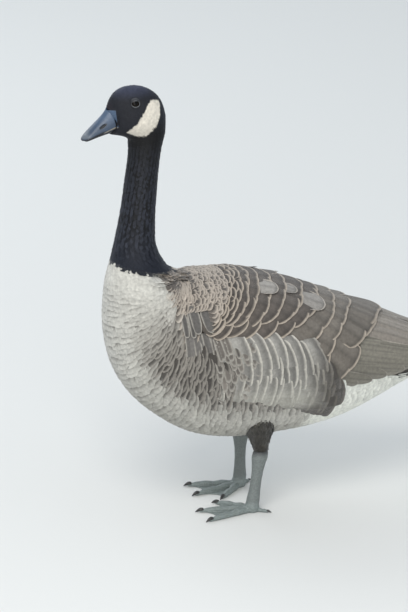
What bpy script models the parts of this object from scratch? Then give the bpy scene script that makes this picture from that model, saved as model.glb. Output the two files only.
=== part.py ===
"""Canada goose standing alert, life size, as a still model. Metres, +Z up, and the bird faces -Y."""

import math
from typing import NamedTuple

import bmesh
import bpy
import numpy as np
from mathutils import Matrix, Vector

GAP = 0.0003  # left between pieces that touch
MERGE = 2e-6  # points nearer than this become one
FEET_AHEAD = 0.0642  # the heels stand this far ahead of the middle of the bird's length

# Head: its eyes' middle over the heels, and how it is held
EYE_HEIGHT = 0.6001
EYE_AHEAD = 0.1667
HEAD_PITCH = math.radians(12)
HEAD_TURN = math.radians(7)  # to the bird's left
NECK_TURNS_AT = 0.150  # the upright line that the head turns about, ahead of the heels

# Eye
EYE_RADIUS = 0.0072
EYE_OUT = 0.0168  # eye centre from the middle plane
EYE_DROP = 0.0016  # eye centre under the middle of its opening
EYE_LOOKS_UP = math.radians(21)
EYE_LOOKS_AHEAD = math.radians(3)
LID_RADIUS = 0.0067
LID_THICK = 0.0013
LID_OUT = 0.0042

# Legs and feet
SHANK_TOP = 0.088
SHANK_FOOT = 0.014
SHANK_NARROW = 0.80
FOOT_OUT = 0.050
ANKLE_OUT = 0.046
THIGH_TOP = 0.160
TOE_RADIUS = 0.0052
WEB_THICK = 0.0016

# Tail
TAIL_ROOT = (0.226, 0.194)
TAIL_SLOPE = math.radians(-10.5)
TAIL_SPREAD = math.radians(13)
TAIL_ROOT_HALF = 0.022
RECTRICES = 5  # on each side
RECTRIX_START = 0.030
RECTRIX_LENGTH = 0.142
RECTRIX_TRIM = 0.0026  # how much each ends short of the one inside it
RECTRIX_WIDTH = 0.027
RECTRIX_STEP = 0.0008
VANE_THICK = 0.0009
RECTRIX_OUTLINE = ((0.0, 0.60), (0.60, 0.95), (0.95, 0.86), (1.0, 0.42))
# Rows of coverts: start, length, how many, and 1 over the tail or -1 under it
TAIL_COVERTS = ((0.262, 0.050, 2, 1), (0.262, 0.056, 2, -1), (0.236, 0.046, 3, 1), (0.236, 0.050, 3, -1))
COVERT_WIDTH = 0.026
COVERT_RISE = 0.0022

COLOURS = {
    "black_plumage": ((0.012, 0.012, 0.015), 0.65),
    "pale_plumage": ((0.52, 0.47, 0.40), 0.80),
    "brown_plumage": ((0.20, 0.16, 0.125), 0.75),
    "bill_horn": ((0.045, 0.055, 0.070), 0.40),
    "leg_skin": ((0.075, 0.075, 0.080), 0.55),
    "eye": ((0.010, 0.006, 0.004), 0.08),
}


class Section(NamedTuple):
    """A slice through the flesh, from a point of the back's outline to one of the belly's, both (y, z)."""

    back: tuple
    belly: tuple
    half_width: float
    widest: float  # where it is widest, as a share of the way from back to belly
    swept: float = 0.0  # how far its sides lie behind its middle


TORSO = (
    Section((0.228, 0.214), (0.228, 0.156), 0.045, 0.50),  # tail root and vent
    Section((0.190, 0.236), (0.190, 0.137), 0.056, 0.50),
    Section((0.140, 0.266), (0.140, 0.116), 0.070, 0.50),  # rump
    Section((0.085, 0.295), (0.085, 0.104), 0.084, 0.50),
    Section((0.030, 0.319), (0.030, 0.100), 0.093, 0.50),  # over the legs
    Section((-0.025, 0.332), (-0.025, 0.100), 0.097, 0.49),
    Section((-0.065, 0.337), (-0.080, 0.111), 0.097, 0.48),  # shoulders
    Section((-0.084, 0.339), (-0.131, 0.1415), 0.094, 0.47),
    Section((-0.093, 0.3405), (-0.171, 0.180), 0.086, 0.46),
    Section((-0.098, 0.3415), (-0.1955, 0.229), 0.077, 0.46),  # breast
    Section((-0.100, 0.3425), (-0.2035, 0.285), 0.067, 0.46),
    Section((-0.102, 0.3435), (-0.2005, 0.334), 0.057, 0.46),
    Section((-0.1025, 0.3445), (-0.1930, 0.3695), 0.046, 0.46),  # edge of the black neck
)
NECK = (
    TORSO[-1],
    Section((-0.1200, 0.3680), (-0.1895, 0.3850), 0.034, 0.47),
    Section((-0.1310, 0.3960), (-0.1855, 0.4030), 0.0280, 0.49),
    Section((-0.1308, 0.4280), (-0.1800, 0.4290), 0.0250, 0.50),
    Section((-0.1290, 0.4560), (-0.1755, 0.4560), 0.0236, 0.50),
    Section((-0.1268, 0.4850), (-0.1718, 0.4850), 0.0226, 0.50),
    Section((-0.1225, 0.5200), (-0.1665, 0.5200), 0.0218, 0.50),
    Section((-0.1145, 0.5500), (-0.1672, 0.5430), 0.0222, 0.50),
)
TAIL_CORE = (
    TORSO[0],
    Section((0.245, 0.2060), (0.245, 0.1615), 0.0405, 0.50),
    Section((0.268, 0.1950), (0.268, 0.1685), 0.0365, 0.50),
    Section((0.292, 0.1845), (0.292, 0.1715), 0.0330, 0.50),
    Section((0.312, 0.1785), (0.312, 0.1730), 0.0240, 0.50),
)
# The head's outline is read ahead of the eyes' middle and above it, along the head itself. The last
# figure is how far a section's sides lie behind its middle.
HEAD = (
    Section((-0.0458, -0.0390), (0.0170, -0.0500), 0.0232, 0.45),
    Section((-0.0460, -0.0260), (0.0205, -0.0475), 0.0244, 0.48),  # nape
    Section((-0.0430, -0.0115), (0.0230, -0.0460), 0.0253, 0.51),
    Section((-0.0375, -0.0015), (0.0250, -0.0450), 0.0256, 0.53),
    Section((-0.0285, 0.0075), (0.0270, -0.0440), 0.0255, 0.55),
    Section((-0.0150, 0.0160), (0.0290, -0.0430), 0.0248, 0.57, 0.0003),  # crown
    Section((0.0030, 0.0198), (0.0315, -0.0418), 0.0230, 0.58, 0.0010),
    Section((0.0160, 0.0178), (0.0345, -0.0405), 0.0206, 0.60, 0.0025),
    Section((0.0245, 0.0120), (0.0370, -0.0393), 0.0184, 0.61, 0.0042),  # forehead
    Section((0.0315, 0.0050), (0.0390, -0.0380), 0.0161, 0.62, 0.0062),
    Section((0.0367, -0.0030), (0.0405, -0.0365), 0.0142, 0.62, 0.0080),
)
BILL = (
    HEAD[-1],
    Section((0.0430, -0.0082), (0.0450, -0.0363), 0.0136, 0.62, 0.0050),
    Section((0.0520, -0.0140), (0.0525, -0.0361), 0.0124, 0.62, 0.0020),
    Section((0.0610, -0.0195), (0.0608, -0.0361), 0.0114, 0.62, 0.0),
    Section((0.0690, -0.0242), (0.0690, -0.0363), 0.0106, 0.62, 0.0),
    Section((0.0742, -0.0275), (0.0740, -0.0366), 0.0092, 0.60, 0.0),
    Section((0.0778, -0.0303), (0.0775, -0.0368), 0.0066, 0.56, 0.0),
    Section((0.0796, -0.0328), (0.0793, -0.0362), 0.0030, 0.54, 0.0),
)
# Where the bill opens: ahead of the eyes' middle, and above it
MOUTH = ((0.0200, -0.0285), (0.0500, -0.0287), (0.0610, -0.0300), (0.0700, -0.0325), (0.0900, -0.0350))
LOWER_NARROWER = 0.90
LOWER_SHORT = 0.0045
NOSTRIL = (0.0495, -0.0202)
NOSTRIL_LENGTH = 0.0095
NOSTRIL_HEIGHT = 0.0030
NOSTRIL_DEEP = 0.0030
NOSTRIL_SLOPE = math.radians(17)
# The hard nail on the bill's tip: its middle, half-sizes and slope
NAIL = (0.0757, -0.0303)
NAIL_HALF = (0.0042, 0.0050, 0.0020)
NAIL_SLOPE = math.radians(48)
# The gape, where the mouth runs back into the head: how far back, how far in, and how high it is
GAPE_BACK = 0.0235
GAPE_OUT = 0.0100
GAPE_HEIGHT = 0.0009

# The surface that a closed wing lies in: y, ridge, widest height, lowest height and half-width there
WING_BED = (
    (-0.118, 0.328, 0.268, 0.206, 0.0905),
    (-0.100, 0.334, 0.266, 0.198, 0.0965),
    (-0.070, 0.340, 0.262, 0.180, 0.1035),
    (-0.020, 0.3375, 0.254, 0.170, 0.106),
    (0.035, 0.3255, 0.244, 0.158, 0.102),
    (0.090, 0.3045, 0.232, 0.146, 0.094),
    (0.140, 0.2850, 0.221, 0.140, 0.083),
    (0.190, 0.2645, 0.212, 0.141, 0.069),
    (0.240, 0.2385, 0.203, 0.150, 0.053),
    (0.300, 0.2120, 0.194, 0.170, 0.034),
    (0.355, 0.1910, 0.185, 0.177, 0.012),
)
WING_FRONT = -0.108
WING_END = 0.334
# How thick the closed wing is under its feathers, at places along it
WING_THICK = ((-0.112, 0.006), (-0.06, 0.009), (0.18, 0.009), (0.24, 0.004), (0.334, 0.0012))
# Where the wing's upper and lower edges run: y, and degrees round from the ridge
WING_EDGES = (
    (-0.112, 58, 84),
    (-0.100, 38, 98),
    (-0.070, 22, 108),
    (-0.020, 10, 116),
    (0.050, 5, 118),
    (0.140, 2, 119),
    (0.215, 2, 117),
    (0.250, 10, 115),
    (0.290, 46, 112),
    (0.334, 84, 106),
)


class Tier(NamedTuple):
    """A row of wing feathers. Each pair is for its uppermost feather and its lowest."""

    count: int
    roots: tuple  # y
    angles: tuple  # degrees round from the ridge
    lengths: tuple
    widths: tuple
    slope: float  # degrees that the feathers point down
    rise: tuple  # over the wing's surface at root and tip


# From the wing's tip forward, so that each row lies over the roots of the one behind it
TIERS = (
    Tier(5, (0.172, 0.205), (62, 103), (0.122, 0.147), (0.022, 0.018), 0.0, (-0.0004, 0.0024)),  # primaries
    Tier(4, (0.118, 0.105), (90, 112), (0.114, 0.120), (0.026, 0.022), 1.5, (-0.0004, 0.0030)),  # secondaries
    Tier(4, (0.115, 0.110), (13, 68), (0.136, 0.150), (0.032, 0.028), 2.0, (-0.0004, 0.0042)),  # tertials
    Tier(4, (0.078, 0.060), (62, 108), (0.074, 0.068), (0.030, 0.027), 7.0, (-0.0002, 0.0046)),  # great coverts
    Tier(4, (0.062, 0.048), (14, 64), (0.082, 0.072), (0.034, 0.029), 6.0, (-0.0002, 0.0050)),  # hind scapulars
    Tier(4, (0.022, 0.012), (14, 68), (0.070, 0.062), (0.032, 0.028), 9.0, (-0.0002, 0.0049)),
    Tier(4, (-0.016, -0.024), (18, 70), (0.062, 0.055), (0.030, 0.026), 11.0, (-0.0002, 0.0046)),
    Tier(4, (-0.050, -0.056), (26, 72), (0.054, 0.047), (0.026, 0.023), 12.0, (-0.0002, 0.0042)),
    Tier(3, (-0.078, -0.082), (42, 76), (0.047, 0.042), (0.026, 0.023), 12.0, (-0.0002, 0.0036)),
    Tier(3, (-0.096, -0.099), (54, 80), (0.040, 0.037), (0.020, 0.019), 12.0, (-0.0002, 0.0028)),  # at the bend
)
FEATHER_TILT = 0.0006  # how far a feather's lower edge stands over the next one
FEATHER_ROOTED = 0.0015  # how deep it goes into the wing
FEATHER_THICK = 0.0008  # where it runs clear of the wing
LONG_FEATHER = 0.100
# How wide a feather is at places along it, as shares of its length and width
SHORT_OUTLINE = ((0.0, 0.70), (0.50, 1.0), (0.84, 0.80), (1.0, 0.28))
LONG_OUTLINE = ((0.0, 0.60), (0.40, 1.0), (0.88, 0.80), (1.0, 0.26))

# The body's own surface under the wing's lower edge, in the same terms
FLANK_BED = (
    (-0.110, 0.341, 0.246, 0.126, 0.088),
    (-0.065, 0.337, 0.224, 0.107, 0.0965),
    (-0.025, 0.332, 0.2185, 0.100, 0.097),
    (0.030, 0.319, 0.2095, 0.100, 0.093),
    (0.085, 0.295, 0.1995, 0.104, 0.084),
    (0.140, 0.266, 0.191, 0.116, 0.070),
)
# The flank's long feathers lie over the wing's lower edge: where their upper and lower edges run
FLANK_EDGES = (
    (-0.100, 92, 115),
    (-0.085, 84, 128),
    (-0.060, 78, 142),
    (-0.020, 77, 152),
    (0.030, 76, 155),
    (0.055, 77, 153),
    (0.080, 90, 150),
    (0.100, 106, 145),
    (0.115, 124, 140),
    (0.119, 130, 136),
)
FLANK_PROUD = 0.006


def clear_scene():
    for old in list(bpy.data.objects):
        bpy.data.objects.remove(old)


def collection(name):
    made = bpy.data.collections.new(name)
    bpy.context.scene.collection.children.link(made)
    return made


def mesh_object(name, bm, home):
    """Turns a bmesh into an object of the home collection, with its faces pointing out."""
    bmesh.ops.recalc_face_normals(bm, faces=bm.faces)
    mesh = bpy.data.meshes.new(name)
    bm.to_mesh(mesh)
    bm.free()
    made = bpy.data.objects.new(name, mesh)
    home.objects.link(made)
    return made


def smooth_rows(rows, per_span):
    """Sets more rows between the given ones, on a curve through them that never overshoots."""
    rows = np.array(rows, float)
    step = np.diff(rows, axis=0)
    before, after = step[:-1], step[1:]
    both = before * after
    inner = np.where(both > 0, 2 * both / np.where(both > 0, before + after, 1), 0)
    slope = np.vstack([step[:1], inner, step[-1:]])
    made = [rows[0]]
    for i in range(len(step)):
        for k in range(1, per_span + 1):
            t = k / per_span
            rise = t * t * (3 - 2 * t)
            leave = t * (1 - t) ** 2
            arrive = t * t * (t - 1)
            made.append(rows[i] + rise * step[i] + leave * slope[i] + arrive * slope[i + 1])
    return np.array(made)


def between(sections, per_span):
    """The sections with others set smoothly between them."""
    flat = [(*s.back, *s.belly, s.half_width, s.widest, s.swept) for s in sections]
    return [Section((r[0], r[1]), (r[2], r[3]), *r[4:]) for r in smooth_rows(flat, per_span)]


def bulge(value, power):
    """A cosine or sine, squared off: power 2 leaves an ellipse, and more is nearer a box."""
    return math.copysign(abs(value) ** (2 / power), value)


def outline(section, sides, power=2.0):
    """Points round a section: the first is on the back, and a quarter of the way on is the bird's left."""
    back = Vector((0, *section.back))
    belly = Vector((0, *section.belly))
    centre = back.lerp(belly, section.widest)
    points = []
    for i in range(sides):
        angle = 2 * math.pi * i / sides
        end = back if math.cos(angle) > 0 else belly
        point = centre.lerp(end, abs(bulge(math.cos(angle), power)))
        point.x = section.half_width * bulge(math.sin(angle), power)
        point.y += section.swept * abs(math.sin(angle)) ** 1.2
        points.append(point)
    return points


def loft(name, rings, home):
    """A closed body through rings of as many points each, with a cap across each end."""
    bm = bmesh.new()
    loops = [[bm.verts.new(point) for point in ring] for ring in rings]
    for near, far in zip(loops, loops[1:]):
        for i in range(len(near)):
            j = (i + 1) % len(near)
            bm.faces.new((near[i], near[j], far[j], far[i]))
    for end in (loops[0], loops[-1]):
        for i in range(len(end) // 2):
            bm.faces.new(dict.fromkeys((end[-i], end[i], end[i + 1], end[-i - 1])))
    return mesh_object(name, bm, home)


def tube_rings(path, radii, sides, flatten=1.0):
    """Rings round a path of points: flatten is their height as a share of their width."""
    rings = []
    for i, centre in enumerate(path):
        along = (path[min(i + 1, len(path) - 1)] - path[max(i - 1, 0)]).normalized()
        across = along.cross(Vector((0, 0, 1)) if abs(along.z) < 0.9 else Vector((0, -1, 0))).normalized()
        over = across.cross(along)
        turn = [2 * math.pi * k / sides for k in range(sides)]
        rings.append(
            [centre + radii[i] * (across * math.cos(a) + over * math.sin(a) * flatten) for a in turn]
        )
    return rings


def applied(obj):
    """Puts the result of an object's modifiers in its mesh."""
    graph = bpy.context.evaluated_depsgraph_get()
    mesh = bpy.data.meshes.new_from_object(obj.evaluated_get(graph))
    obj.modifiers.clear()
    obj.data = mesh


def keep_largest(obj):
    """Leaves only the largest closed surface of a mesh."""
    bm = bmesh.new()
    bm.from_mesh(obj.data)
    bmesh.ops.remove_doubles(bm, verts=bm.verts, dist=MERGE)
    bmesh.ops.dissolve_degenerate(bm, edges=bm.edges, dist=MERGE)
    bmesh.ops.triangulate(bm, faces=[f for f in bm.faces if len(f.verts) > 4])
    left = set(bm.faces)
    islands = []
    while left:
        island = {left.pop()}
        edge = list(island)
        while edge:
            face = edge.pop()
            found = {f for e in face.edges if len(e.link_faces) == 2 for f in e.link_faces} - island
            island |= found
            edge.extend(found)
        left -= island
        islands.append(island)
    islands.sort(key=lambda faces: sum(f.calc_area() for f in faces))
    for island in islands[:-1]:
        bmesh.ops.delete(bm, geom=list(island), context="FACES")
    bm.to_mesh(obj.data)
    bm.free()


def fuse(name, pieces, home, solver="EXACT"):
    """Joins closed pieces into one closed body, which takes the name."""
    first, rest = pieces[0], pieces[1:]
    first.name = name
    if rest:
        joined = bpy.data.collections.new(name + "_pieces")
        for piece in rest:
            home.objects.unlink(piece)
            joined.objects.link(piece)
        union = first.modifiers.new("join", "BOOLEAN")
        union.operation = "UNION"
        union.operand_type = "COLLECTION"
        union.collection = joined
        union.solver = solver
        applied(first)
        for piece in rest:
            bpy.data.objects.remove(piece)
        bpy.data.collections.remove(joined)
    keep_largest(first)
    return first


def cut(obj, cutter, solver="EXACT"):
    """Takes the cutter out of the object, and keeps the largest body left."""
    difference = obj.modifiers.new("cut", "BOOLEAN")
    difference.operation = "DIFFERENCE"
    difference.object = cutter
    difference.solver = solver
    applied(obj)
    keep_largest(obj)


def grown(obj, amount, home):
    """A copy of a body, swollen by the amount, to cut its neighbours clear of it."""
    copy = bpy.data.objects.new(obj.name + "_grown", obj.data.copy())
    home.objects.link(copy)
    bm = bmesh.new()
    bm.from_mesh(copy.data)
    bmesh.ops.recalc_face_normals(bm, faces=bm.faces)
    bm.normal_update()
    places = [v.co + v.normal * amount for v in bm.verts]
    for vert, place in zip(bm.verts, places):
        vert.co = place
    bm.to_mesh(copy.data)
    bm.free()
    copy.hide_render = True
    copy.display_type = "WIRE"
    return copy


def mirrored(obj, name, home):
    """The right-hand copy of a left-hand piece."""
    copy = bpy.data.objects.new(name, obj.data.copy())
    home.objects.link(copy)
    copy.data.transform(Matrix.Diagonal((-1, 1, 1, 1)))
    copy.data.flip_normals()
    return copy


def turn_of_neck(height):
    """How much of the head's turn the neck has taken at a height."""
    low, high = NECK[3].back[1], NECK[-1].back[1]
    share = min(1.0, max(0.0, (height - low) / (high - low)))
    return HEAD_TURN * share * share * (3 - 2 * share)


def turned(points):
    """Turns points of the neck about its own upright line, each by its height's share of the head's turn."""
    axis = Vector((0, -NECK_TURNS_AT, 0))
    return [axis + Matrix.Rotation(turn_of_neck(p.z), 3, "Z") @ (p - axis) for p in points]


def head_matrix():
    """Places what is built round the eyes' middle, facing -Y, as the bird holds its head."""
    axis = Matrix.Translation((0, -NECK_TURNS_AT, 0))
    at_eyes = Matrix.Translation((0, -EYE_AHEAD, EYE_HEIGHT))
    turn = axis @ Matrix.Rotation(HEAD_TURN, 4, "Z") @ axis.inverted()
    return turn @ at_eyes @ Matrix.Rotation(HEAD_PITCH, 4, "X")


def in_head(sections):
    """Sections read ahead of the eyes and above them, in the head's own frame."""
    return [s._replace(back=(-s.back[0], s.back[1]), belly=(-s.belly[0], s.belly[1])) for s in sections]


def shifted(rings, index, amount):
    """Rings with the end one moved along the body by the amount, to leave a gap at a joint."""
    centres = [sum(ring, Vector()) / len(ring) for ring in rings]
    other = centres[index + 1] if index == 0 else centres[index - 1]
    move = (other - centres[index]).normalized() * amount
    rings[index] = [point + move for point in rings[index]]
    return rings


def build_torso(home):
    rings = [outline(s, 32) for s in between(TORSO, 2)]
    body = loft("body", shifted(rings, 0, GAP), home)
    flank = build_flank(home)
    return fuse("torso", [body, flank, mirrored(flank, "flank_right", home)], home)


def build_neck(home):
    rings = [turned(outline(s, 28)) for s in between(NECK, 2)]
    return loft("neck", shifted(rings, 0, GAP), home)


def build_head(home, cutters):
    place = head_matrix()
    neck_end = turned(outline(NECK[-1], 28))
    skull = [[place @ p for p in outline(s, 28)] for s in between(in_head(HEAD), 2)]
    head = loft("skull", shifted([neck_end, *skull], 0, GAP), home)
    head = fuse("head", [head, *(lid(side, place, home) for side in (1, -1))], home)
    for side in (1, -1):
        cut(head, ball("socket", side, EYE_RADIUS + GAP, place, cutters))
        cut(head, gape(side, place, cutters))
    return head


def eye_matrix(side, place):
    """Places what is built round an eye's centre, with +Z as the way that the eye looks."""
    at = Matrix.Translation((side * EYE_OUT, 0, -EYE_DROP))
    ahead = Matrix.Rotation(-side * EYE_LOOKS_AHEAD, 4, "Z")
    return place @ at @ ahead @ Matrix.Rotation(side * (math.pi / 2 - EYE_LOOKS_UP), 4, "Y")


def lid(side, place, home):
    """The raised rim of skin round an eye."""
    steps, sides = 16, 4
    at = eye_matrix(side, place)
    bm = bmesh.new()
    rings = []
    for i in range(steps):
        a = 2 * math.pi * i / steps
        out = Vector((math.cos(a) * 0.94, math.sin(a), 0))
        ring = []
        for k in range(sides):
            b = 2 * math.pi * k / sides
            rise = Vector((0, 0, LID_OUT + LID_THICK * math.sin(b)))
            ring.append(bm.verts.new(at @ (out * (LID_RADIUS + LID_THICK * math.cos(b)) + rise)))
        rings.append(ring)
    for i in range(steps):
        near, far = rings[i], rings[(i + 1) % steps]
        for k in range(sides):
            bm.faces.new((near[k], near[(k + 1) % sides], far[(k + 1) % sides], far[k]))
    return mesh_object("lid", bm, home)


def ball(name, side, radius, place, home):
    """A ball at an eye's place."""
    bm = bmesh.new()
    at = eye_matrix(side, place)
    bmesh.ops.create_uvsphere(bm, u_segments=16, v_segments=9, radius=radius, matrix=at)
    made = mesh_object(name, bm, home)
    made.hide_render = name == "socket"
    return made


def nail(place, home):
    """The hard plate at the tip of the upper bill."""
    bm = bmesh.new()
    ahead, up = NAIL
    at = place @ Matrix.Translation((0, -ahead, up)) @ Matrix.Rotation(NAIL_SLOPE, 4, "X")
    shape = Matrix.Diagonal((*NAIL_HALF, 1))
    bmesh.ops.create_uvsphere(bm, u_segments=12, v_segments=6, radius=1, matrix=at @ shape)
    return mesh_object("nail", bm, home)


def gape(side, place, home):
    """A thin slot that carries the mouth's line back into the side of the head."""
    bm = bmesh.new()
    up = MOUTH[0][1]
    reach = BILL[0].belly[0] - GAPE_BACK
    middle = (side * (GAPE_OUT + 0.01), -(GAPE_BACK + reach / 2), up)
    size = Matrix.Diagonal((0.02, reach, GAPE_HEIGHT, 1))
    bmesh.ops.create_cube(bm, size=1.0, matrix=place @ Matrix.Translation(middle) @ size)
    made = mesh_object("gape", bm, home)
    made.hide_render = True
    return made


def bill_rings(place, per_span, narrow, short):
    """The whole bill's rings, from the head's face out: the lower half is narrower, and ends short."""
    rings = []
    sections = between(in_head(BILL), per_span)
    for i, section in enumerate(sections):
        away = short if i else 0
        row = outline(section._replace(half_width=section.half_width * (narrow if i else 1)), 28, 2.1)
        if i == 0:
            row = outline(section, 28)
            row = [Vector((p.x * narrow, p.y - GAP, p.z)) for p in row]
        rings.append([place @ (p + Vector((0, away * i / len(sections), 0))) for p in row])
    return rings


def build_bill(home, cutters):
    place = head_matrix()
    upper = loft("upper", bill_rings(place, 2, 0.985, 0.0), home)
    upper = fuse("bill_upper", [upper, nail(place, home)], home)
    cut(upper, mouth_cutter("below", -0.02, 0.0, place, cutters))
    lower = loft("bill_lower", bill_rings(place, 1, LOWER_NARROWER, LOWER_SHORT), home)
    cut(lower, mouth_cutter("above", 0.05, -GAP, place, cutters))
    for side in (1, -1):
        cut(upper, nostril(side, place, cutters))
    return [upper, lower]


def mouth_cutter(name, reach, rise, place, home):
    """All that lies on one side of the line that the bill opens along."""
    bm = bmesh.new()
    rows = []
    for x in (-0.03, 0.03):
        line = [place @ Vector((x, -ahead, up + rise)) for ahead, up in MOUTH]
        far = [place @ Vector((x, -ahead, up + reach)) for ahead, up in MOUTH]
        rows.append([bm.verts.new(p) for p in line + far[::-1]])
    left, right = rows
    for row in rows:
        count = len(MOUTH)
        for i in range(count - 1):
            bm.faces.new((row[i], row[i + 1], row[-i - 2], row[-i - 1]))
    for i in range(len(left)):
        j = (i + 1) % len(left)
        bm.faces.new((left[i], left[j], right[j], right[i]))
    made = mesh_object(name, bm, home)
    made.hide_render = True
    return made


def nostril(side, place, home):
    """The slot that a nostril cuts in the side of the bill."""
    ahead, up = NOSTRIL
    bm = bmesh.new()
    size = Matrix.Diagonal((NOSTRIL_LENGTH / 2, NOSTRIL_HEIGHT / 2, 1, 1))
    at = Matrix.Translation((side * 0.0125, -ahead, up)) @ Matrix.Rotation(NOSTRIL_SLOPE, 4, "X")
    lay = at @ Matrix.Rotation(math.pi / 2, 4, "Y") @ Matrix.Rotation(math.pi / 2, 4, "Z")
    bmesh.ops.create_cone(
        bm, cap_ends=True, segments=14, radius1=1, radius2=1, depth=2 * NOSTRIL_DEEP, matrix=place @ lay @ size
    )
    made = mesh_object("nostril", bm, home)
    made.hide_render = True
    return made


def bed_point(bed, y, angle, lift=0.0):
    """A point of a surface given by rows of ridge, widest height, lowest height and half-width."""
    ridge, centre, low, half_width = (np.interp(y, bed[:, 0], bed[:, k]) for k in (1, 2, 3, 4))
    reach = ridge - centre if math.cos(angle) > 0 else centre - low
    point = Vector((half_width * math.sin(angle), y, centre + reach * math.cos(angle)))
    if lift:
        step = 1e-4
        along = bed_point(bed, y + step, angle) - bed_point(bed, y - step, angle)
        around = bed_point(bed, y, angle + step) - bed_point(bed, y, angle - step)
        point += around.cross(along).normalized() * lift
    return point


def bed_slab(name, edges, ends, grid, faces_at, home):
    """A curved slab between two edges: faces_at gives its outer and inner point at any place."""
    columns, rows = grid
    bm = bmesh.new()
    outer, inner = [], []
    for i in range(columns + 1):
        y = ends[0] + (ends[1] - ends[0]) * i / columns
        top, bottom = (math.radians(np.interp(y, edges[:, 0], edges[:, k])) for k in (1, 2))
        pairs = [faces_at(y, top + (bottom - top) * k / rows, k / rows) for k in range(rows + 1)]
        outer.append([bm.verts.new(pair[0]) for pair in pairs])
        inner.append([bm.verts.new(pair[1]) for pair in pairs])
    close_slab(bm, outer, inner)
    return mesh_object(name, bm, home)


def close_slab(bm, outer, inner):
    """Faces over two grids of points and round their edges."""
    columns, rows = len(outer) - 1, len(outer[0]) - 1
    for side in (outer, inner):
        for i in range(columns):
            for k in range(rows):
                bm.faces.new((side[i][k], side[i][k + 1], side[i + 1][k + 1], side[i + 1][k]))
    for i in range(columns):
        for k in (0, rows):
            bm.faces.new((outer[i][k], outer[i + 1][k], inner[i + 1][k], inner[i][k]))
    for k in range(rows):
        for i in (0, columns):
            bm.faces.new((outer[i][k], outer[i][k + 1], inner[i][k + 1], inner[i][k]))


BEDS = {"wing": smooth_rows(WING_BED, 6), "flank": smooth_rows(FLANK_BED, 6)}
EDGE_ROWS = smooth_rows(WING_EDGES, 4)


def wing_faces(y, angle, share):
    thick = np.interp(y, *zip(*WING_THICK)) * (1 if 0 < share < 1 else 0.3)
    return bed_point(BEDS["wing"], y, angle), bed_point(BEDS["wing"], y, angle, -thick)


def flank_faces(y, angle, share):
    """Over the wing at the flank's upper edge, and down into the belly at its lower one."""
    sink = min(1, share * 1.7) ** 1.3
    over = bed_point(BEDS["wing"], y, angle, FLANK_PROUD)
    under = bed_point(BEDS["flank"], y, angle, -0.002)
    return over.lerp(under, sink), bed_point(BEDS["flank"], y, angle, -0.006)


def build_flank(home):
    ends = (FLANK_EDGES[0][0], FLANK_EDGES[-1][0])
    return bed_slab("flank", smooth_rows(FLANK_EDGES, 4), ends, (14, 6), flank_faces, home)


def wing_feather(root, angle, length, width, tier, home):
    """One feather of the left wing, from its root back over the wing's surface."""
    bed = BEDS["wing"]
    slope = math.radians(tier.slope)
    outline_of = LONG_OUTLINE if length > LONG_FEATHER else SHORT_OUTLINE
    rings = []
    for share, wide in outline_of:
        ring = ([], [])
        for t in (-1, 1):
            across = t * wide * width / 2
            y = root + length * share * math.cos(slope) - across * math.sin(slope)
            ridge, _, low, half_width = (np.interp(y, bed[:, 0], bed[:, k]) for k in (1, 2, 3, 4))
            radius = (half_width + (ridge - low) / 2) / 2
            turn = (length * share * math.sin(slope) + across * math.cos(slope)) / radius
            upper = math.radians(np.interp(y, EDGE_ROWS[:, 0], EDGE_ROWS[:, 1]))
            place = max(angle + turn, upper + math.radians(0.8 * (t + 1)))
            lift = tier.rise[0] + (tier.rise[1] - tier.rise[0]) * share
            lift += FEATHER_TILT * t
            foot = -FEATHER_ROOTED if y < WING_END - 0.10 else -FEATHER_THICK * 0.5
            foot = foot if y < WING_END - 0.012 else lift - FEATHER_THICK
            ring[0].append(bed_point(bed, y, place, lift))
            ring[1].append(bed_point(bed, y, place, foot))
        rings.append(ring[0] + ring[1][::-1])
    return loft("feather", rings, home)


def tier_feathers(tier, home):
    made = []
    for i in range(tier.count):
        t = i / (tier.count - 1)
        root, angle, length, width = (
            a + (b - a) * t for a, b in (tier.roots, tier.angles, tier.lengths, tier.widths)
        )
        made.append(wing_feather(root, math.radians(angle), length, width, tier, home))
    return made


def build_wings(home, swollen):
    ends = (WING_FRONT, WING_END)
    pieces = [bed_slab("wing_bed", EDGE_ROWS, ends, (12, 6), wing_faces, home)]
    for tier in TIERS:
        pieces += tier_feathers(tier, home)
    left = fuse("wing_left", pieces, home)
    for body in swollen:
        cut(left, body, "MANIFOLD")
    return [left, mirrored(left, "wing_right", home)]


def tail_point(along, across, lift=0.0):
    """A point over the tail: its fan is arched across, and falls away behind."""
    y, z = TAIL_ROOT
    arch = 2.2 * across * across
    return Vector((
        across,
        y + along * math.cos(TAIL_SLOPE) - lift * math.sin(TAIL_SLOPE),
        z + along * math.sin(TAIL_SLOPE) + lift * math.cos(TAIL_SLOPE) - arch,
    ))


def build_tail(home):
    rings = [outline(s, 24) for s in between(TAIL_CORE, 1)]
    pieces = [loft("tail_core", shifted(rings, 0, GAP), home)]
    for k in range(RECTRICES):
        for side in (1, -1):
            pieces.append(rectrix(k, side, home))
    for reach, length, count, over in TAIL_COVERTS:
        for i in range(count):
            across = (2 * i / (count - 1) - 1) * (0.5 if count == 2 else 1)
            pieces.append(tail_covert(reach, length, across, over, home))
    return fuse("tail", pieces, home)


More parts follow.
